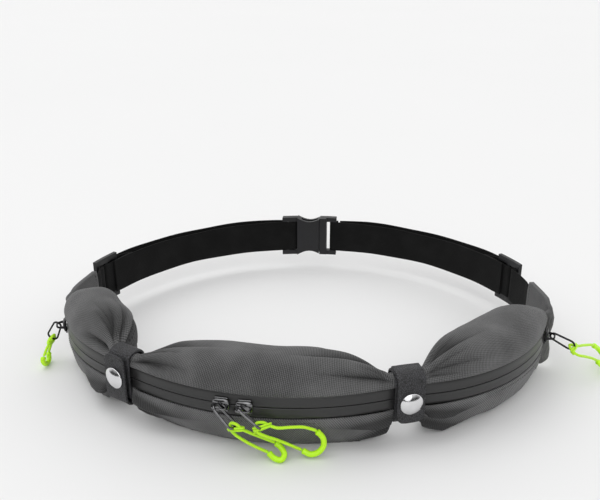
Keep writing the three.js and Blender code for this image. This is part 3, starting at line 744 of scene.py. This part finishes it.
def gathers(across, away, seed):
    """How deep the fabric dips in the pleats that run out from a neck.
    Fine pleats start at the strap and soon end; a few long ones run far over the pouch."""
    draw = np.random.default_rng(seed)
    dip = np.zeros(np.broadcast(across, away).shape)
    past = np.clip(away - STRAP_EDGE, 0, None)
    for count, deep, reach in ((7, 0.0017, 0.015), (4, 0.0054, 0.036), (3, 0.0056, 0.062)):
        for k in range(count):
            middle = (k + 0.5 + draw.uniform(-0.25, 0.25)) / count
            wide = draw.uniform(0.13, 0.2) / count
            length = reach * draw.uniform(0.7, 1.25)
            depth = deep * draw.uniform(0.7, 1.2)
            drift = draw.uniform(-0.25, 0.25)
            share = past / length
            x = (across - middle - drift * share**1.5 / count) / (wide * (1 + 0.5 * share))
            fade = (0.35 + 0.65 * smoothstep(past / 0.007)) * smoothstep(1 - share) ** 0.8
            dip += depth * np.exp(-np.abs(x)) * fade
    return np.minimum(dip, 0.0075) * np.where(away < STRAP_EDGE, 0.4, 1.0)


def ripple(s, across, seed, height):
    """Slow unevenness over a panel."""
    draw = np.random.default_rng(seed)
    total = np.zeros(np.broadcast(s, across).shape)
    for waves in (1.7, 2.6, 4.1):
        a, b = draw.uniform(0.6, 1.4, 2)
        p, q = draw.uniform(0, 2 * math.pi, 2)
        total += np.sin(a * waves * 2 * math.pi * s + p) * np.sin(b * waves * math.pi * across + q) / waves
    return total * height


def normals_of(points, flip):
    n = unit_rows(np.cross(np.gradient(points, axis=0), np.gradient(points, axis=1)))
    return -n if flip else n


CLOTH = {
    "quality": 4, "mass": 0.25, "tension_stiffness": 12, "compression_stiffness": 4, "shear_stiffness": 4,
    "bending_stiffness": 0.3, "use_pressure": True,
}
CLOTH_STEPS = 16


def relax(piece, fixed, pressure, cap):
    """A short cloth simulation: the panel fills out between its seams, by no more than cap."""
    start = np.array([v.co for v in piece.data.vertices], float)
    group = piece.vertex_groups.new(name="seams")
    for index, hold in enumerate(fixed):
        if hold > 0:
            group.add([index], float(hold), "REPLACE")
    cloth = piece.modifiers.new("Cloth", "CLOTH")
    for key, value in CLOTH.items():
        setattr(cloth.settings, key, value)
    cloth.settings.uniform_pressure_force = pressure
    cloth.settings.vertex_group_mass = "seams"
    cloth.settings.effector_weights.gravity = 0
    cloth.collision_settings.use_collision = False
    cloth.point_cache.frame_start = 1
    cloth.point_cache.frame_end = CLOTH_STEPS
    for number in range(CLOTH_STEPS):
        scene.frame_set(number + 1)
    graph = bpy.context.evaluated_depsgraph_get()
    moved = np.array([v.co for v in piece.evaluated_get(graph).data.vertices], float)
    piece.modifiers.remove(cloth)
    piece.vertex_groups.clear()
    scene.frame_set(1)
    step = moved - start
    length = np.linalg.norm(step, axis=1)
    step *= np.minimum(1, cap / np.maximum(length, 1e-9))[:, None]
    settled = start + step
    settled[:, 2] = np.where(start[:, 2] < 0.0005, 0, np.maximum(settled[:, 2], 0))
    piece.data.vertices.foreach_set("co", settled.ravel())
    piece.data.update()


PANELS = {  # material, slot, columns and how deep the gathers are
    "upper": (FABRIC, "fabric", 84, 1.0),
    "lower": (FABRIC_LOW, "fabric", 84, 1.0),
    "back": (LINING, "lining", 26, 0.45),
}
ROW_STEP = 0.0011


def panel_edges(pouch, label, s):
    """The turns round the section at which a panel starts and ends."""
    if label == "upper":
        return pouch.turn_at_tape(s, 1), BACK_TOP
    if label == "lower":
        return 2 * math.pi - pouch.turn_at_tape(s, -1), BACK_BOTTOM
    return BACK_TOP, BACK_BOTTOM


def panel(pouch, label, seed):
    """One sewn panel: its CAD surface with gathers and hems, filled out by simulation, and thickened."""
    flip = pouch.arc.sweep < 0
    run = pouch.arc.length
    last = 1 - 0.0006 / run if pouch.end_flat else 0.998
    material, slot_name, columns, depth = PANELS[label]
    s = np.linspace(0.0006 / run, last, int(run / ROW_STEP))[:, None]
    across = np.linspace(0, 1, columns)[None, :]
    turn_from, turn_to = panel_edges(pouch, label, s)
    turn = turn_from + (turn_to - turn_from) * across
    points = pouch.surface(s, turn)
    normals = normals_of(points, flip)
    edge = smoothstep(across / 0.07) * smoothstep((1 - across) / 0.07)
    dip = gathers(across, s * run, seed)
    if pouch.end_flat:
        dip = dip + gathers(across, (1 - s) * run, seed + 50)
    dip = dip * (0.25 + 0.75 * edge) * depth
    full = smoothstep(pouch.swell(s) * 1.5)
    lift = ripple(s, across, seed + 9, 0.0007) * edge * full - dip
    resting = points[..., 2] < 0.0004
    lift = np.where(resting, np.minimum(lift, 0) * 0.3, lift)
    if label == "lower":  # the cords hang close in front of it
        lift = np.minimum(lift, 0.0001)
    # The hem by the zip turns in.
    hem = np.clip(1 - across / 0.05, 0, 1) if label != "back" else 0
    lift = lift - (0.0007 if label == "upper" else 0.0001) * hem**2
    points = points + normals * lift[..., None]
    points[..., 2] = np.maximum(points[..., 2], 0.0)
    widths = np.linalg.norm(np.diff(pouch.surface(s, turn), axis=1), axis=2).mean(0)
    around = np.concatenate([[0], np.cumsum(widths)])[None, :] + 0 * s
    uv = np.stack([s * run + 0 * across, around], -1)
    piece = grid(f"{pouch.name}_{label}_fabric", points, uv, flip=not flip)
    # Painted shade for the creases: how dark the colour goes, from how deep the gathers dip there.
    crease_shade = piece.data.attributes.new("crease_shade", "FLOAT", "POINT")
    dark = np.clip(dip / 0.0036, 0, 1) ** 1.3
    crease_shade.data.foreach_set("value", dark.astype(np.float32).ravel())
    under_strap = np.minimum(s * run, (1 - s) * run if pouch.end_flat else 9) < STRAP_EDGE
    hold = np.maximum(1 - edge, under_strap * 1.0)
    hold = np.maximum(hold, np.clip(dip / 0.0012, 0, 1) * 0.9)
    if not pouch.end_flat:
        hold = np.maximum(hold, (s > 0.985) * 1.0)
    relax(piece, np.clip(hold, 0, 1).ravel(), 2.0, 0.0003 if label == "lower" else 0.0012)
    thick = piece.modifiers.new("thickness", "SOLIDIFY")
    thick.thickness = FABRIC_THICK
    thick.offset = -1
    bake(piece)
    dress(piece, material, "front", slot_name, f"{pouch.name}_{label}_panel")


def seam_cord(pouch, label, turn):
    """Piping along a back seam."""
    run = pouch.arc.length
    last = 1 - 0.004 / run
    s = np.linspace(0.004 / run, last, 150)
    line = pouch.surface(s, np.full_like(s, turn))
    line[:, 2] = np.maximum(line[:, 2], 0.0011)
    piece = tube(f"{pouch.name}_{label}_piping", even_line(line, 0.0012), 0.0010, 8)
    dress(piece, HEM, "front", "fabric")


def stitches(name, line, normals, body, slot_name, pitch=0.0030, length=0.0021, size=0.00022, lift=0.0001):
    """A row of stitches along a line, each a small rounded bar lying on the surface."""
    along = run_length(line)
    count = max(2, int(along[-1] / pitch))
    sides = 6
    points, faces = [], []
    for middle in (np.arange(count) + 0.5) * along[-1] / count:
        where = middle + np.array((-0.5, 0.0, 0.5)) * length
        high = np.array((-size * 0.6, lift, -size * 0.6)) + size * 0.5
        out = unit_rows(at_length(where, along, normals))
        bar = smooth_line(at_length(where, along, line) + out * high[:, None], 2)
        a, b = frames_along(bar)
        start = len(points)
        for i, p in enumerate(bar):
            small = 0.5 if i in (0, len(bar) - 1) else 1
            for j in range(sides):
                turn = 2 * math.pi * j / sides
                points.append(p + size * small * (a[i] * math.cos(turn) + b[i] * math.sin(turn)))
        for i in range(len(bar) - 1):
            for j in range(sides):
                n = (j + 1) % sides
                q = [start + i * sides + j, start + i * sides + n, start + (i + 1) * sides + n]
                faces.append([*q, start + (i + 1) * sides + j])
        faces.append([start + j for j in range(sides)][::-1])
        faces.append([start + (len(bar) - 1) * sides + j for j in range(sides)])
    dress(face_out(new_mesh(name, points, faces)), THREAD, body, slot_name)


def zip_tape(pouch, sign):
    """One coated tape: its film stands a little proud by the slit and dips at the sewn edge."""
    run = pouch.arc.length
    last = 1 - 0.0006 / run if pouch.end_flat else 0.985
    s = np.linspace(0.0006 / run, last, 110)
    profile = [  # (out, distance from the zip's centre line)
        (-0.0010, TAPE_SLIT), (-0.0002, TAPE_SLIT + 0.00005), (0.00005, TAPE_SLIT + 0.0004),
        (0.0, TAPE_SLIT + 0.0010), (-0.0001, 0.0017), (-0.00012, 0.0030), (-0.0001, 0.0055),
        (-0.00025, 0.0068), (-0.0007, 0.0076), (-0.0014, 0.0084), (-0.0020, 0.0080), (-0.0016, 0.0040),
        (-0.0014, 0.0012),
    ]
    out = np.array([p[0] for p in profile])
    up = np.array([p[1] for p in profile])
    points = pouch.arc.at(s[:, None], out[None, :], ZIP_Z + sign * up[None, :])
    around = np.concatenate([[0], np.cumsum(np.hypot(np.diff(out), np.diff(up)))])
    around = np.append(around, around[-1] + 0.001)
    uv = [[(a * run, b) for b in around] for a in s]
    which = "upper" if sign > 0 else "lower"
    piece = grid(f"{pouch.name}_zip_film_{which}", points, uv, closed=True, caps=True)
    dress(piece, FILM, "front", "zip_tape", f"{pouch.name}_zip_tape_{which}")


def hem_stitches(pouch, sign):
    """Topstitching beside the zip, on the fabric's turned edge."""
    run = pouch.arc.length
    last = 1 - (STRAP_EDGE + 0.004) / run if pouch.end_flat else 0.93
    s = np.linspace((STRAP_EDGE + 0.004) / run, last, 120)
    turn = pouch.turn_at_tape(s, sign)
    reach = 0.085 if sign > 0 else 0.07
    turn = turn + reach if sign > 0 else 2 * math.pi - turn - reach
    line = pouch.surface(s, turn)
    over = pouch.surface(s, turn + 0.02) - line
    normals = unit_rows(np.cross(np.gradient(line, axis=0), over))
    if pouch.arc.sweep < 0:
        normals = -normals
    name = f"{pouch.name}_hem_stitches_{'upper' if sign > 0 else 'lower'}"
    stitches(name, line, normals, "front", "fabric", lift=0.00015)


def make_pouch(pouch, seed):
    for more, label in enumerate(PANELS):
        panel(pouch, label, seed + more)
    for label, turn in (("top_seam", BACK_TOP), ("bottom_seam", BACK_BOTTOM)):
        seam_cord(pouch, label, turn)
    for sign in (1, -1):
        zip_tape(pouch, sign)
        hem_stitches(pouch, sign)


for number, pouch in enumerate(POUCHES):
    make_pouch(pouch, 100 + 10 * number)


# ---- neck straps ----
BAND_FRONT, BAND_BACK, BAND_LOW, BAND_HIGH, BAND_CORNER = 0.0016, -0.0104, 0.0162, 0.0483, 0.0044
LEATHER_WIDTH, LEATHER_THICK = 0.0185, 0.0018
FLAP_OUT = 0.0057  # how far out from the zip face a flap lies
SNAP_SIZE = 0.015


class Place:
    """A spot on the pack with its own outward, upward and along directions."""

    def __init__(self, point, angle):
        self.point = np.array((point[0], point[1], 0.0)) + PACK
        self.out = np.array((math.cos(angle), math.sin(angle), 0.0))
        self.along = np.cross(self.out, UP)

    def at(self, out, up, along=0.0):
        out, up, along = np.broadcast_arrays(out, up, along)
        return (
            self.point
            + out[..., None] * self.out
            + up[..., None] * UP
            + along[..., None] * self.along
        )


def leather_strip(name, place, path, corner):
    """A strip of leather along a path of (out, 0, up) points, with round corners at its far end."""
    path = even_line(path, 0.0008)
    line = place.at(path[:, 0], path[:, 2])
    out = np.cross(place.along, headings(line))
    section = rounded_section(LEATHER_WIDTH, LEATHER_THICK, 0.0006, 3, wave=0.00015)
    sections = np.repeat(section[None], len(line), 0)
    left = run_length(line)[-1] - run_length(line)
    lost = corner - np.sqrt(np.clip(corner**2 - np.clip(corner - left, 0, None) ** 2, 0, None))
    sections[:, :, 0] *= (1 - lost / (LEATHER_WIDTH / 2))[:, None]
    sections[:, :, 1] *= (0.35 + 0.65 * np.sqrt(np.clip(left / 0.0009, 0, 1)))[:, None]
    return sweep(name, line, place.along, out, sections)


def make_neck(side, point, angle, from_top, snap_up, length):
    place = Place(point, angle)
    wide, high = BAND_FRONT - BAND_BACK + LEATHER_THICK, BAND_HIGH - BAND_LOW + LEATHER_THICK
    ring = rounded_section(wide, high, BAND_CORNER + LEATHER_THICK / 2, 9)
    ring = np.insert(ring + ((BAND_FRONT + BAND_BACK) / 2, (BAND_LOW + BAND_HIGH) / 2), 1, 0.0, axis=1)
    ring = even_line(np.vstack([ring, ring[:1]]), 0.0012)[:-1]
    line = place.at(ring[:, 0], ring[:, 2])
    out = loop_outward(line, place.along)
    section = rounded_section(LEATHER_WIDTH, LEATHER_THICK, 0.0006, 3, wave=0.00012)
    band = sweep(f"{side}_leather_band", line, place.along, out, section, closed=True)
    dress(band, LEATHER, "front", "leather", f"{side}_neck_band")

    half = LEATHER_THICK / 2
    face = FLAP_OUT + half
    root = BAND_HIGH + LEATHER_THICK + half if from_top else BAND_LOW - LEATHER_THICK - half
    down = -1 if from_top else 1
    tip = (BAND_HIGH + LEATHER_THICK if from_top else BAND_LOW - LEATHER_THICK) + down * length
    path = [
        (-0.0065, root), (-0.004, root), (-0.001, root - down * 0.0002), (0.0024, root + down * 0.0003),
        (0.0050, root + down * 0.0020), (0.0063, root + down * 0.0050), (face, root + down * 0.0090),
        (face, (root + tip) / 2), (face, tip),
    ]
    path = smooth_line([(a, 0.0, b) for a, b in path])
    flap = leather_strip(f"{side}_leather_flap", place, path, 0.006)
    start = place.at(-0.0005, root)
    end = place.at(face + 0.0005, root + down * 0.0075)
    dress(flap, LEATHER, ("front", f"{side}_flap", start, end), "leather", f"{side}_neck_flap")

    cap_at = place.at(FLAP_OUT + LEATHER_THICK + 0.0001, ZIP_Z + snap_up)
    r = SNAP_SIZE / 2
    profile = [(r * 0.86, 0.0), (r * 0.96, 0.00015), (r, 0.0005), (r * 0.985, 0.0008), (r * 0.94, 0.0010)]
    for i in range(1, 17):
        share = 1 - i / 16.5
        profile.append((r * 0.94 * share, 0.0010 + 0.0022 * (1 - share**2.2)))
    cap = turned(f"{side}_chrome_cap", profile, 56, cap_at, place.out, UP)
    dress(cap, CHROME, f"{side}_flap", "chrome", f"{side}_snap_cap")
    for node in (f"{side}_snap_socket", f"{side}_snap_stud"):
        finish_node(node, CHROME)


def finish_node(node, material, round_by=None):
    """A CAD node that shows as it is, with its own material, and its edges rounded for the eye if asked."""
    o = nodes[node]
    o.data.materials.clear()
    o.data.materials.append(material)
    if round_by:
        o.modifiers.new("weld", "WELD").merge_threshold = 0.00002
        bevel = o.modifiers.new("bevel", "BEVEL")
        bevel.width = round_by
        bevel.segments = 2
        bevel.limit_method = "ANGLE"
        bevel.angle_limit = math.radians(28)
        bevel.use_clamp_overlap = True


left_turn = (CENTRE_ARC.angle(0) + LEFT_ARC.angle(0)) / 2
right_turn = (CENTRE_ARC.angle(1) + RIGHT_ARC.angle(0)) / 2
make_neck("left", NECK_LEFT, left_turn, False, 0.0, 0.035)
make_neck("right", NECK_RIGHT, right_turn, True, -0.0012, 0.0327)


# ---- zip sliders and pulls ----
ZIPS = [  # name, arc, place along it, the pull's hang as (out, up, along), its turn, its material and slot
    ("left_end", LEFT_ARC, 0.93, (0.35, -0.85, 0.4), 20, BLACK_METAL, "black_metal"),
    ("centre_left", CENTRE_ARC, 0.397, (0.05, -0.7, -0.7), 5, GUNMETAL, "gunmetal"),
    ("centre_right", CENTRE_ARC, 0.472, (-0.03, -0.67, -0.74), -28, GUNMETAL, "gunmetal"),
    ("right_end", RIGHT_ARC, 0.95, (0.95, -0.34, 0.1), 15, BLACK_METAL, "black_metal"),
]
BAIL_OUT = 0.007


def slider_plate(name, place, out_from, out_to, width, length, dome):
    """A slider's plate: a shield outline, narrower at its nose, domed and rounded at its edge."""
    outline = []
    steps = 40
    for i in range(steps):
        turn = 2 * math.pi * i / steps
        x = math.copysign(abs(math.cos(turn)) ** 0.55, math.cos(turn))
        y = math.copysign(abs(math.sin(turn)) ** 0.55, math.sin(turn))
        narrow = 1 - 0.16 * (0.5 + 0.5 * x)
        outline.append((x * length / 2, y * width / 2 * narrow))
    outline = np.array(outline)
    rows = []
    thick = out_to - out_from
    for grow, high in ((0.9, 0.0), (0.97, 0.08), (1.0, 0.3), (1.0, 0.6), (0.965, 0.85), (0.9, 1.0),
                       (0.7, 1.0 + dome * 0.5), (0.4, 1.0 + dome * 0.9), (0.12, 1.0 + dome)):
        rows.append(place.at(out_from + thick * high, outline[:, 1] * grow + ZIP_Z, outline[:, 0] * grow))
    points = np.array(rows)
    uv = [[(0.001 * i, 0.001 * j) for j in range(steps + 1)] for i in range(len(rows))]
    return grid(name, points, uv, closed=True, caps=True)


def make_zip(name, arc, s, hang, yaw, material, slot_name):
    point = arc.at(s) - PACK
    place = Place(point, arc.angle(s))
    top = slider_plate(f"{name}_top", place, 0.0004, 0.0021, 0.0090, 0.0112, 0.5)
    under = slider_plate(f"{name}_under", place, -0.0028, -0.0018, 0.0080, 0.0108, 0.1)
    lips = []
    for sign in (1, -1):  # the flanges that close over the tapes' edges
        run = np.linspace(-0.0045, 0.0040, 12)
        height = sign * 0.0045 * (1 - 0.05 * (run + 0.0045) / 0.0085)
        lips.append(tube(f"{name}_lip_{sign}", place.at(0.0006, height + ZIP_Z, run), 0.00055, 8))
    post = place.at(np.linspace(-0.0022, 0.0008, 5), ZIP_Z)
    web = tube(f"{name}_web", post, 0.00033, 8)
    arch = [
        (0.0012, -0.0047), (0.0034, -0.0047), (0.0058, -0.0041), (BAIL_OUT, -0.0024),
        (BAIL_OUT + 0.0001, 0.0), (BAIL_OUT, 0.0024), (0.0058, 0.0041), (0.0034, 0.0047), (0.0012, 0.0047),
    ]
    arch = smooth_line([(a, 0.0, b) for a, b in arch], 5)
    line = place.at(arch[:, 0], ZIP_Z, arch[:, 2])
    wide = 0.0013 + 0.0012 * np.clip((0.0052 - arch[:, 0]) / 0.004, 0, 1)
    section = rounded_section(1.0, 1.0, 0.3, 3)
    sections = section[None] * np.stack([wide, np.full_like(wide, 0.0012)], -1)[:, None]
    bail = sweep(f"{name}_bail", line, UP, np.cross(UP, headings(line)), sections)
    slider = join_pieces(f"{name}_zip_slider", [top, under, *lips, web, bail])
    dress(slider, material, f"{name}_slider", slot_name, f"{name}_slider")

    down = unit(hang[0] * place.out + hang[1] * UP + hang[2] * place.along)
    flat = unit(place.along - np.dot(place.along, down) * down)
    turn = math.radians(yaw)
    flat = unit(flat * math.cos(turn) + np.cross(down, flat) * math.sin(turn))
    side = np.cross(flat, down)
    bail_at = place.at(BAIL_OUT, ZIP_Z)
    near, far, reach = 0.0029, 0.00375, 0.0115
    lean = math.asin((far - near) / reach)
    loop = []
    quarter = math.pi / 2
    for middle, radius, start, end in (
        (0, near, quarter + lean, 3 * quarter - lean),
        (reach, far, -quarter - lean, quarter + lean),
    ):
        for a in np.linspace(start, end, 13):
            loop.append((middle + radius * math.cos(a), radius * math.sin(a)))
    line = np.array([bail_at + x * down + y * side for x, y in loop])
    line = even_line(np.vstack([line, line[:1]]), 0.0007)[:-1]
    size = 0.0016 if slot_name == "gunmetal" else 0.0013
    wire = rounded_section(size, size, size * 0.38, 3)
    pull = sweep(f"{name}_zip_pull", line, flat, loop_outward(line, flat), wire, closed=True)
    dress(pull, material, f"{name}_pull", slot_name, f"{name}_pull")


for row in ZIPS:
    make_zip(*row)


# ---- belt: fabric wings, webbing, adjusters, buckle ----
SIDES = {  # degrees on the belt, up from that side's horizontal
    "left": {"side": -1, "pivot": -4.5, "wing_end": 11.5, "glide": 19.0, "seam": 28.4, "bar": 78.99},
    "right": {"side": 1, "pivot": 3.7, "wing_end": 18.6, "glide": 31.6, "seam": 40.4, "bar": 88.07},
}
# Plan radii of the webbing's runs, and outside the buckle's bar.
INNER, LOOPED, TAIL, OUTER, WING, BAR_OUT = 0.1815, 0.1831, 0.188, 0.1897, 0.1786, 0.187
WEB_MID, WEB_WIDE = (WEB_LOW + WEB_HIGH) / 2, WEB_HIGH - WEB_LOW


def belt_line(side, stops, step=0.0018):
    """A line along the belt through (degrees, radius) stops."""
    points = []
    for (d0, r0), (d1, r1) in zip(stops, stops[1:]):
        count = max(2, int(abs(d1 - d0) / 1.0))
        for i in range(count):
            points.append(on_belt(side, d0 + (d1 - d0) * i / count, r0 + (r1 - r0) * i / count, WEB_MID))
    points.append(on_belt(side, stops[-1][0], stops[-1][1], WEB_MID))
    return even_line(np.array(points), step)


def outward_from_belt(points):
    """Horizontal directions away from the belt's centre."""
    away = points - (np.array((*BELT, 0.0)) + PACK)
    away[:, 2] = 0
    return unit_rows(away)


def outward_sides(line, at):
    """Horizontal normals of a level line, all on the side away from the belt's centre at one point."""
    out = np.cross(headings(line), UP)
    return out if np.dot(out[at], outward_from_belt(line)[at]) > 0 else -out


def webbing(name, line, body, node, seed):
    """Elastic webbing on edge along a line: firm edges, and a slight wander of its own."""
    section = rounded_section(WEB_WIDE, WEB_THICK, WEB_THICK * 0.45, 3)
    along = run_length(line)
    draw = np.random.default_rng(seed)
    p, q = draw.uniform(0, 2 * math.pi, 2)
    wander = 0.0003 * np.sin(along / 0.021 + p) + 0.0002 * np.sin(along / 0.009 + q)
    fade = np.clip(np.minimum(along, along[-1] - along) / 0.01, 0, 1)
    sections = np.repeat(section[None], len(line), 0)
    sections[:, :, 0] += (wander * fade)[:, None] * np.sign(sections[:, :, 0])
    piece = sweep(name, line, UP, outward_sides(line, len(line) // 2), sections)
    dress(piece, ELASTIC, body, "webbing", node)


def vertical_stitches(name, side, degrees, radius, face, body):
    """Two rows of stitches across the webbing's width; face is +1 outside, -1 inside."""
    for row in range(2):
        heights = np.linspace(WEB_LOW + 0.0022, WEB_HIGH - 0.0022, 12)
        line = np.array([on_belt(side, degrees + row * 0.9, radius, h) for h in heights])
        normals = face * outward_from_belt(line)
        stitches(f"{name}_{row}", line, normals, body, "webbing", pitch=0.0026, length=0.0019, size=0.00018)


def half_turn(side, degrees, ahead, middle, deep):
    """Points round a bar, from inside it to outside; ahead is how far they bulge, in degrees."""
    points = []
    for a in np.linspace(-math.pi / 2, math.pi / 2, 13):
        points.append(on_belt(side, degrees + ahead * math.cos(a), middle + deep * math.sin(a), WEB_MID))
    return points


def make_side(name, side, pivot, wing_end, glide, seam, bar):
    strap, adjuster = f"{name}_strap", f"{name}_adjuster"
    middle = (INNER + BAR_OUT) / 2
    deep = (BAR_OUT - INNER) / 2

    # The inner run goes inside the buckle's bar and round it.
    stops = [(seam - 7.4, INNER), (bar, INNER)]
    line = belt_line(side, stops)
    snug = 0.25 if name == "left" else 0.0
    turn = half_turn(side, bar + 0.55, snug + deep * math.degrees(1 / middle), middle, deep)
    line = even_line(np.vstack([line, turn, on_belt(side, bar - 0.8, BAR_OUT, WEB_MID)]), 0.0009)
    webbing(f"{name}_webbing_inner", line, strap, f"{name}_strap_inner_run", seed=3)

    # The outer run comes back outside.
    stops = [
        (glide - 2.4, OUTER - 0.0006), (glide + 3, OUTER), (bar - 9, OUTER), (bar - 5, OUTER - 0.0012),
        (bar - 1.3, BAR_OUT),
    ]
    line = belt_line(side, stops)
    turn = [
        on_belt(side, glide - 2.1, 0.1826, WEB_MID), on_belt(side, glide - 1.75, 0.1845, WEB_MID),
        on_belt(side, glide - 1.7, 0.1868, WEB_MID), on_belt(side, glide - 1.2, 0.1888, WEB_MID),
        on_belt(side, glide + 1.0, OUTER, WEB_MID),
    ]
    line = even_line(np.vstack([smooth_line(turn), line[run_length(line) > 0.0125]]), 0.0012)
    start, end = on_belt(side, glide + 3, OUTER, WEB_MID), on_belt(side, glide + 30, OUTER, WEB_MID)
    webbing(f"{name}_webbing_outer", line, (adjuster, strap, start, end), f"{name}_strap_outer_run", seed=4)

    # The wing's run leaves the fabric inside and goes up through the adjuster's near slot.
    stops = [
        (wing_end - 6, WING - 0.0012), (wing_end + 0.5, WING - 0.0012), (wing_end + 2.5, WING + 0.0002),
        (glide - 4.6, INNER - 0.0004), (glide - 2.6, INNER + 0.0002), (glide - 2.1, 0.1824),
    ]
    line = belt_line(side, stops)
    start, end = on_belt(side, wing_end + 0.5, INNER, WEB_MID), on_belt(side, glide - 4.2, INNER, WEB_MID)
    between = (strap, adjuster, start, end)
    webbing(f"{name}_webbing_from_wing", line, between, f"{name}_strap_wing_run", seed=5)

    # The sewn end: round the adjuster's middle bar and back onto itself at the seam.
    middle = (LOOPED + TAIL) / 2
    deep = (TAIL - LOOPED) / 2
    edge = glide - 0.5
    near = belt_line(side, [(seam, LOOPED), (edge + 0.6, LOOPED)])
    turn = half_turn(side, edge, -deep * math.degrees(1 / middle), middle, deep)
    stops = [
        (edge + 0.6, TAIL), (seam - 4, TAIL), (seam - 2.6, TAIL - 0.0012),
        (seam - 0.6, LOOPED + WEB_THICK + 0.0002),
    ]
    line = even_line(np.vstack([near, turn, belt_line(side, stops)]), 0.0009)
    webbing(f"{name}_webbing_sewn_end", line, adjuster, f"{name}_strap_looped_end", seed=6)
    inner_face, outer_face = LOOPED - WEB_THICK / 2, LOOPED + WEB_THICK * 1.5 + 0.0003
    vertical_stitches(f"{name}_seam_stitches_inside", side, seam - 1.7, inner_face, -1, adjuster)
    vertical_stitches(f"{name}_seam_stitches_outside", side, seam - 1.9, outer_face, 1, adjuster)

    finish_node(f"{name}_tri_glide", PLASTIC, 0.0009)
    make_wing(name, side, pivot, wing_end, LEFT_ARC if name == "left" else RIGHT_ARC)


def make_wing(name, side, pivot, wing_end, arc):
    """The pouch's fabric where it narrows to the webbing: a flat sleeve that runs past the strap's hinge.
    """
    inside = [arc.at(s, -0.0046, 0.0) for s in (0.93, 0.97, 1.0)]
    belt = [on_belt(side, pivot + d, WING, 0.0) for d in (1.6, 4.0, 8.0)]
    last = on_belt(side, wing_end, WING, 0.0)
    line = even_line(smooth_line([*inside, *belt, last]), 0.0012)
    along = run_length(line)
    hinge = on_belt(side, pivot, WING, 0.0)
    at_hinge = along[np.argmin(np.linalg.norm(line - hinge, axis=1))]
    stops = [0, at_hinge - 0.002, at_hinge + 0.015, along[-1]]
    low = np.interp(along, stops, [0.006, 0.0035, 0.0155, 0.0158])
    high = np.interp(along, stops, [0.044, 0.0465, 0.0502, 0.0502])
    thick = np.interp(along, [0, at_hinge, at_hinge + 0.01, along[-1]], [0.0030, 0.0042, 0.0046, 0.0050])
    out = outward_sides(line, -1)
    section = rounded_section(1.0, 1.0, 0.02, 3)
    sections = np.repeat(section[None], len(line), 0)
    # A unit section scaled to the height and thickness there, a little thinner at its edges.
    height = high - low
    edge_share = np.abs(sections[:, :, 0]) > 0.47
    sections[:, :, 1] *= np.where(edge_share, 0.75, 1.0) * thick[:, None]
    fade = smoothstep(1 - (along - at_hinge) / 0.022)[:, None]
    sections[:, :, 1] += 0.0011 * np.sin(sections[:, :, 0] * 9 + along[:, None] * 260) * fade
    sections[:, :, 0] *= height[:, None]
    line[:, 2] = (low + high) / 2
    piece = sweep(f"{name}_wing_sleeve", line, UP, out, sections)
    start = on_belt(side, pivot - 1.6, WING, WEB_MID)
    end = on_belt(side, pivot + 2.2, WING, WEB_MID)
    bodies = ("front", f"{name}_strap", start, end)
    dress(piece, FABRIC, bodies, "fabric", f"{name}_wing")
    for face in (1, -1):
        heights = np.linspace(0.0175, 0.0485, 14)
        row = np.array([on_belt(side, wing_end - 1.0, WING + face * 0.0025, h) for h in heights])
        where = "outside" if face > 0 else "inside"
        normals = face * outward_from_belt(row)
        stitches(f"{name}_wing_stitches_{where}", row, normals, f"{name}_strap", "fabric", pitch=0.0028)


for name, sizes in SIDES.items():
    make_side(name, **sizes)
for node in ("buckle_socket", "buckle_plug"):
    finish_node(node, PLASTIC, 0.0006)
for node in ("buckle_latch_upper", "buckle_latch_lower"):
    finish_node(node, PLASTIC, 0.0004)


# ---- floor and light ----
def make_stage():
    size = 40.0
    corners = [(-size, -size, 0), (size, -size, 0), (size, size, 0), (-size, size, 0)]
    floor = new_mesh("floor", corners, [(0, 1, 2, 3)])
    s = Shader("floor_paint", Roughness=0.6)
    s.colour(s.mix(s.noise(s.place(), 1.5, 2.0), (0.80, 0.80, 0.80, 1), (0.82, 0.82, 0.82, 1)))
    floor.data.materials.append(s.material)
    world = bpy.data.worlds.new("studio")
    world.use_nodes = True
    sky = Nodes(world.node_tree)
    backdrop = sky.tree.nodes["Background"]
    direction = sky.add("ShaderNodeTexCoord").outputs["Generated"]
    height = sky.add("ShaderNodeSeparateXYZ", {0: direction}).outputs
    # Only the side that the pack's front faces is dark near the horizon.
    behind = sky.add("ShaderNodeMath", {0: height["Y"], 1: 0.4}, operation="ADD", use_clamp=True)
    total = sky.math("ADD", behind.outputs[0], height["Z"])
    rise = {"Value": total, "From Min": 0.16, "From Max": 0.6, "To Min": 0.06, "To Max": 0.93}
    risen = sky.add("ShaderNodeMapRange", rise, interpolation_type="SMOOTHSTEP")
    sky.put(risen.outputs[0], backdrop.inputs["Strength"])
    backdrop.inputs["Color"].default_value = (1, 1, 1, 1)
    scene.world = world
    for name, aim, power, spread in (
        ("key", (0.5, -0.1, -1.0), 0.55, 45),
        ("front", (-0.1, 0.9, -0.5), 0.7, 50),
    ):
        data = bpy.data.lights.new(name, "SUN")
        data.energy = power
        data.angle = math.radians(spread)
        lamp = bpy.data.objects.new(name, data)
        lamp.rotation_euler = Vector(aim).to_track_quat("-Z", "Y").to_euler()
        scene.collection.objects.link(lamp)
    scene.view_settings.view_transform = "Standard"


make_stage()
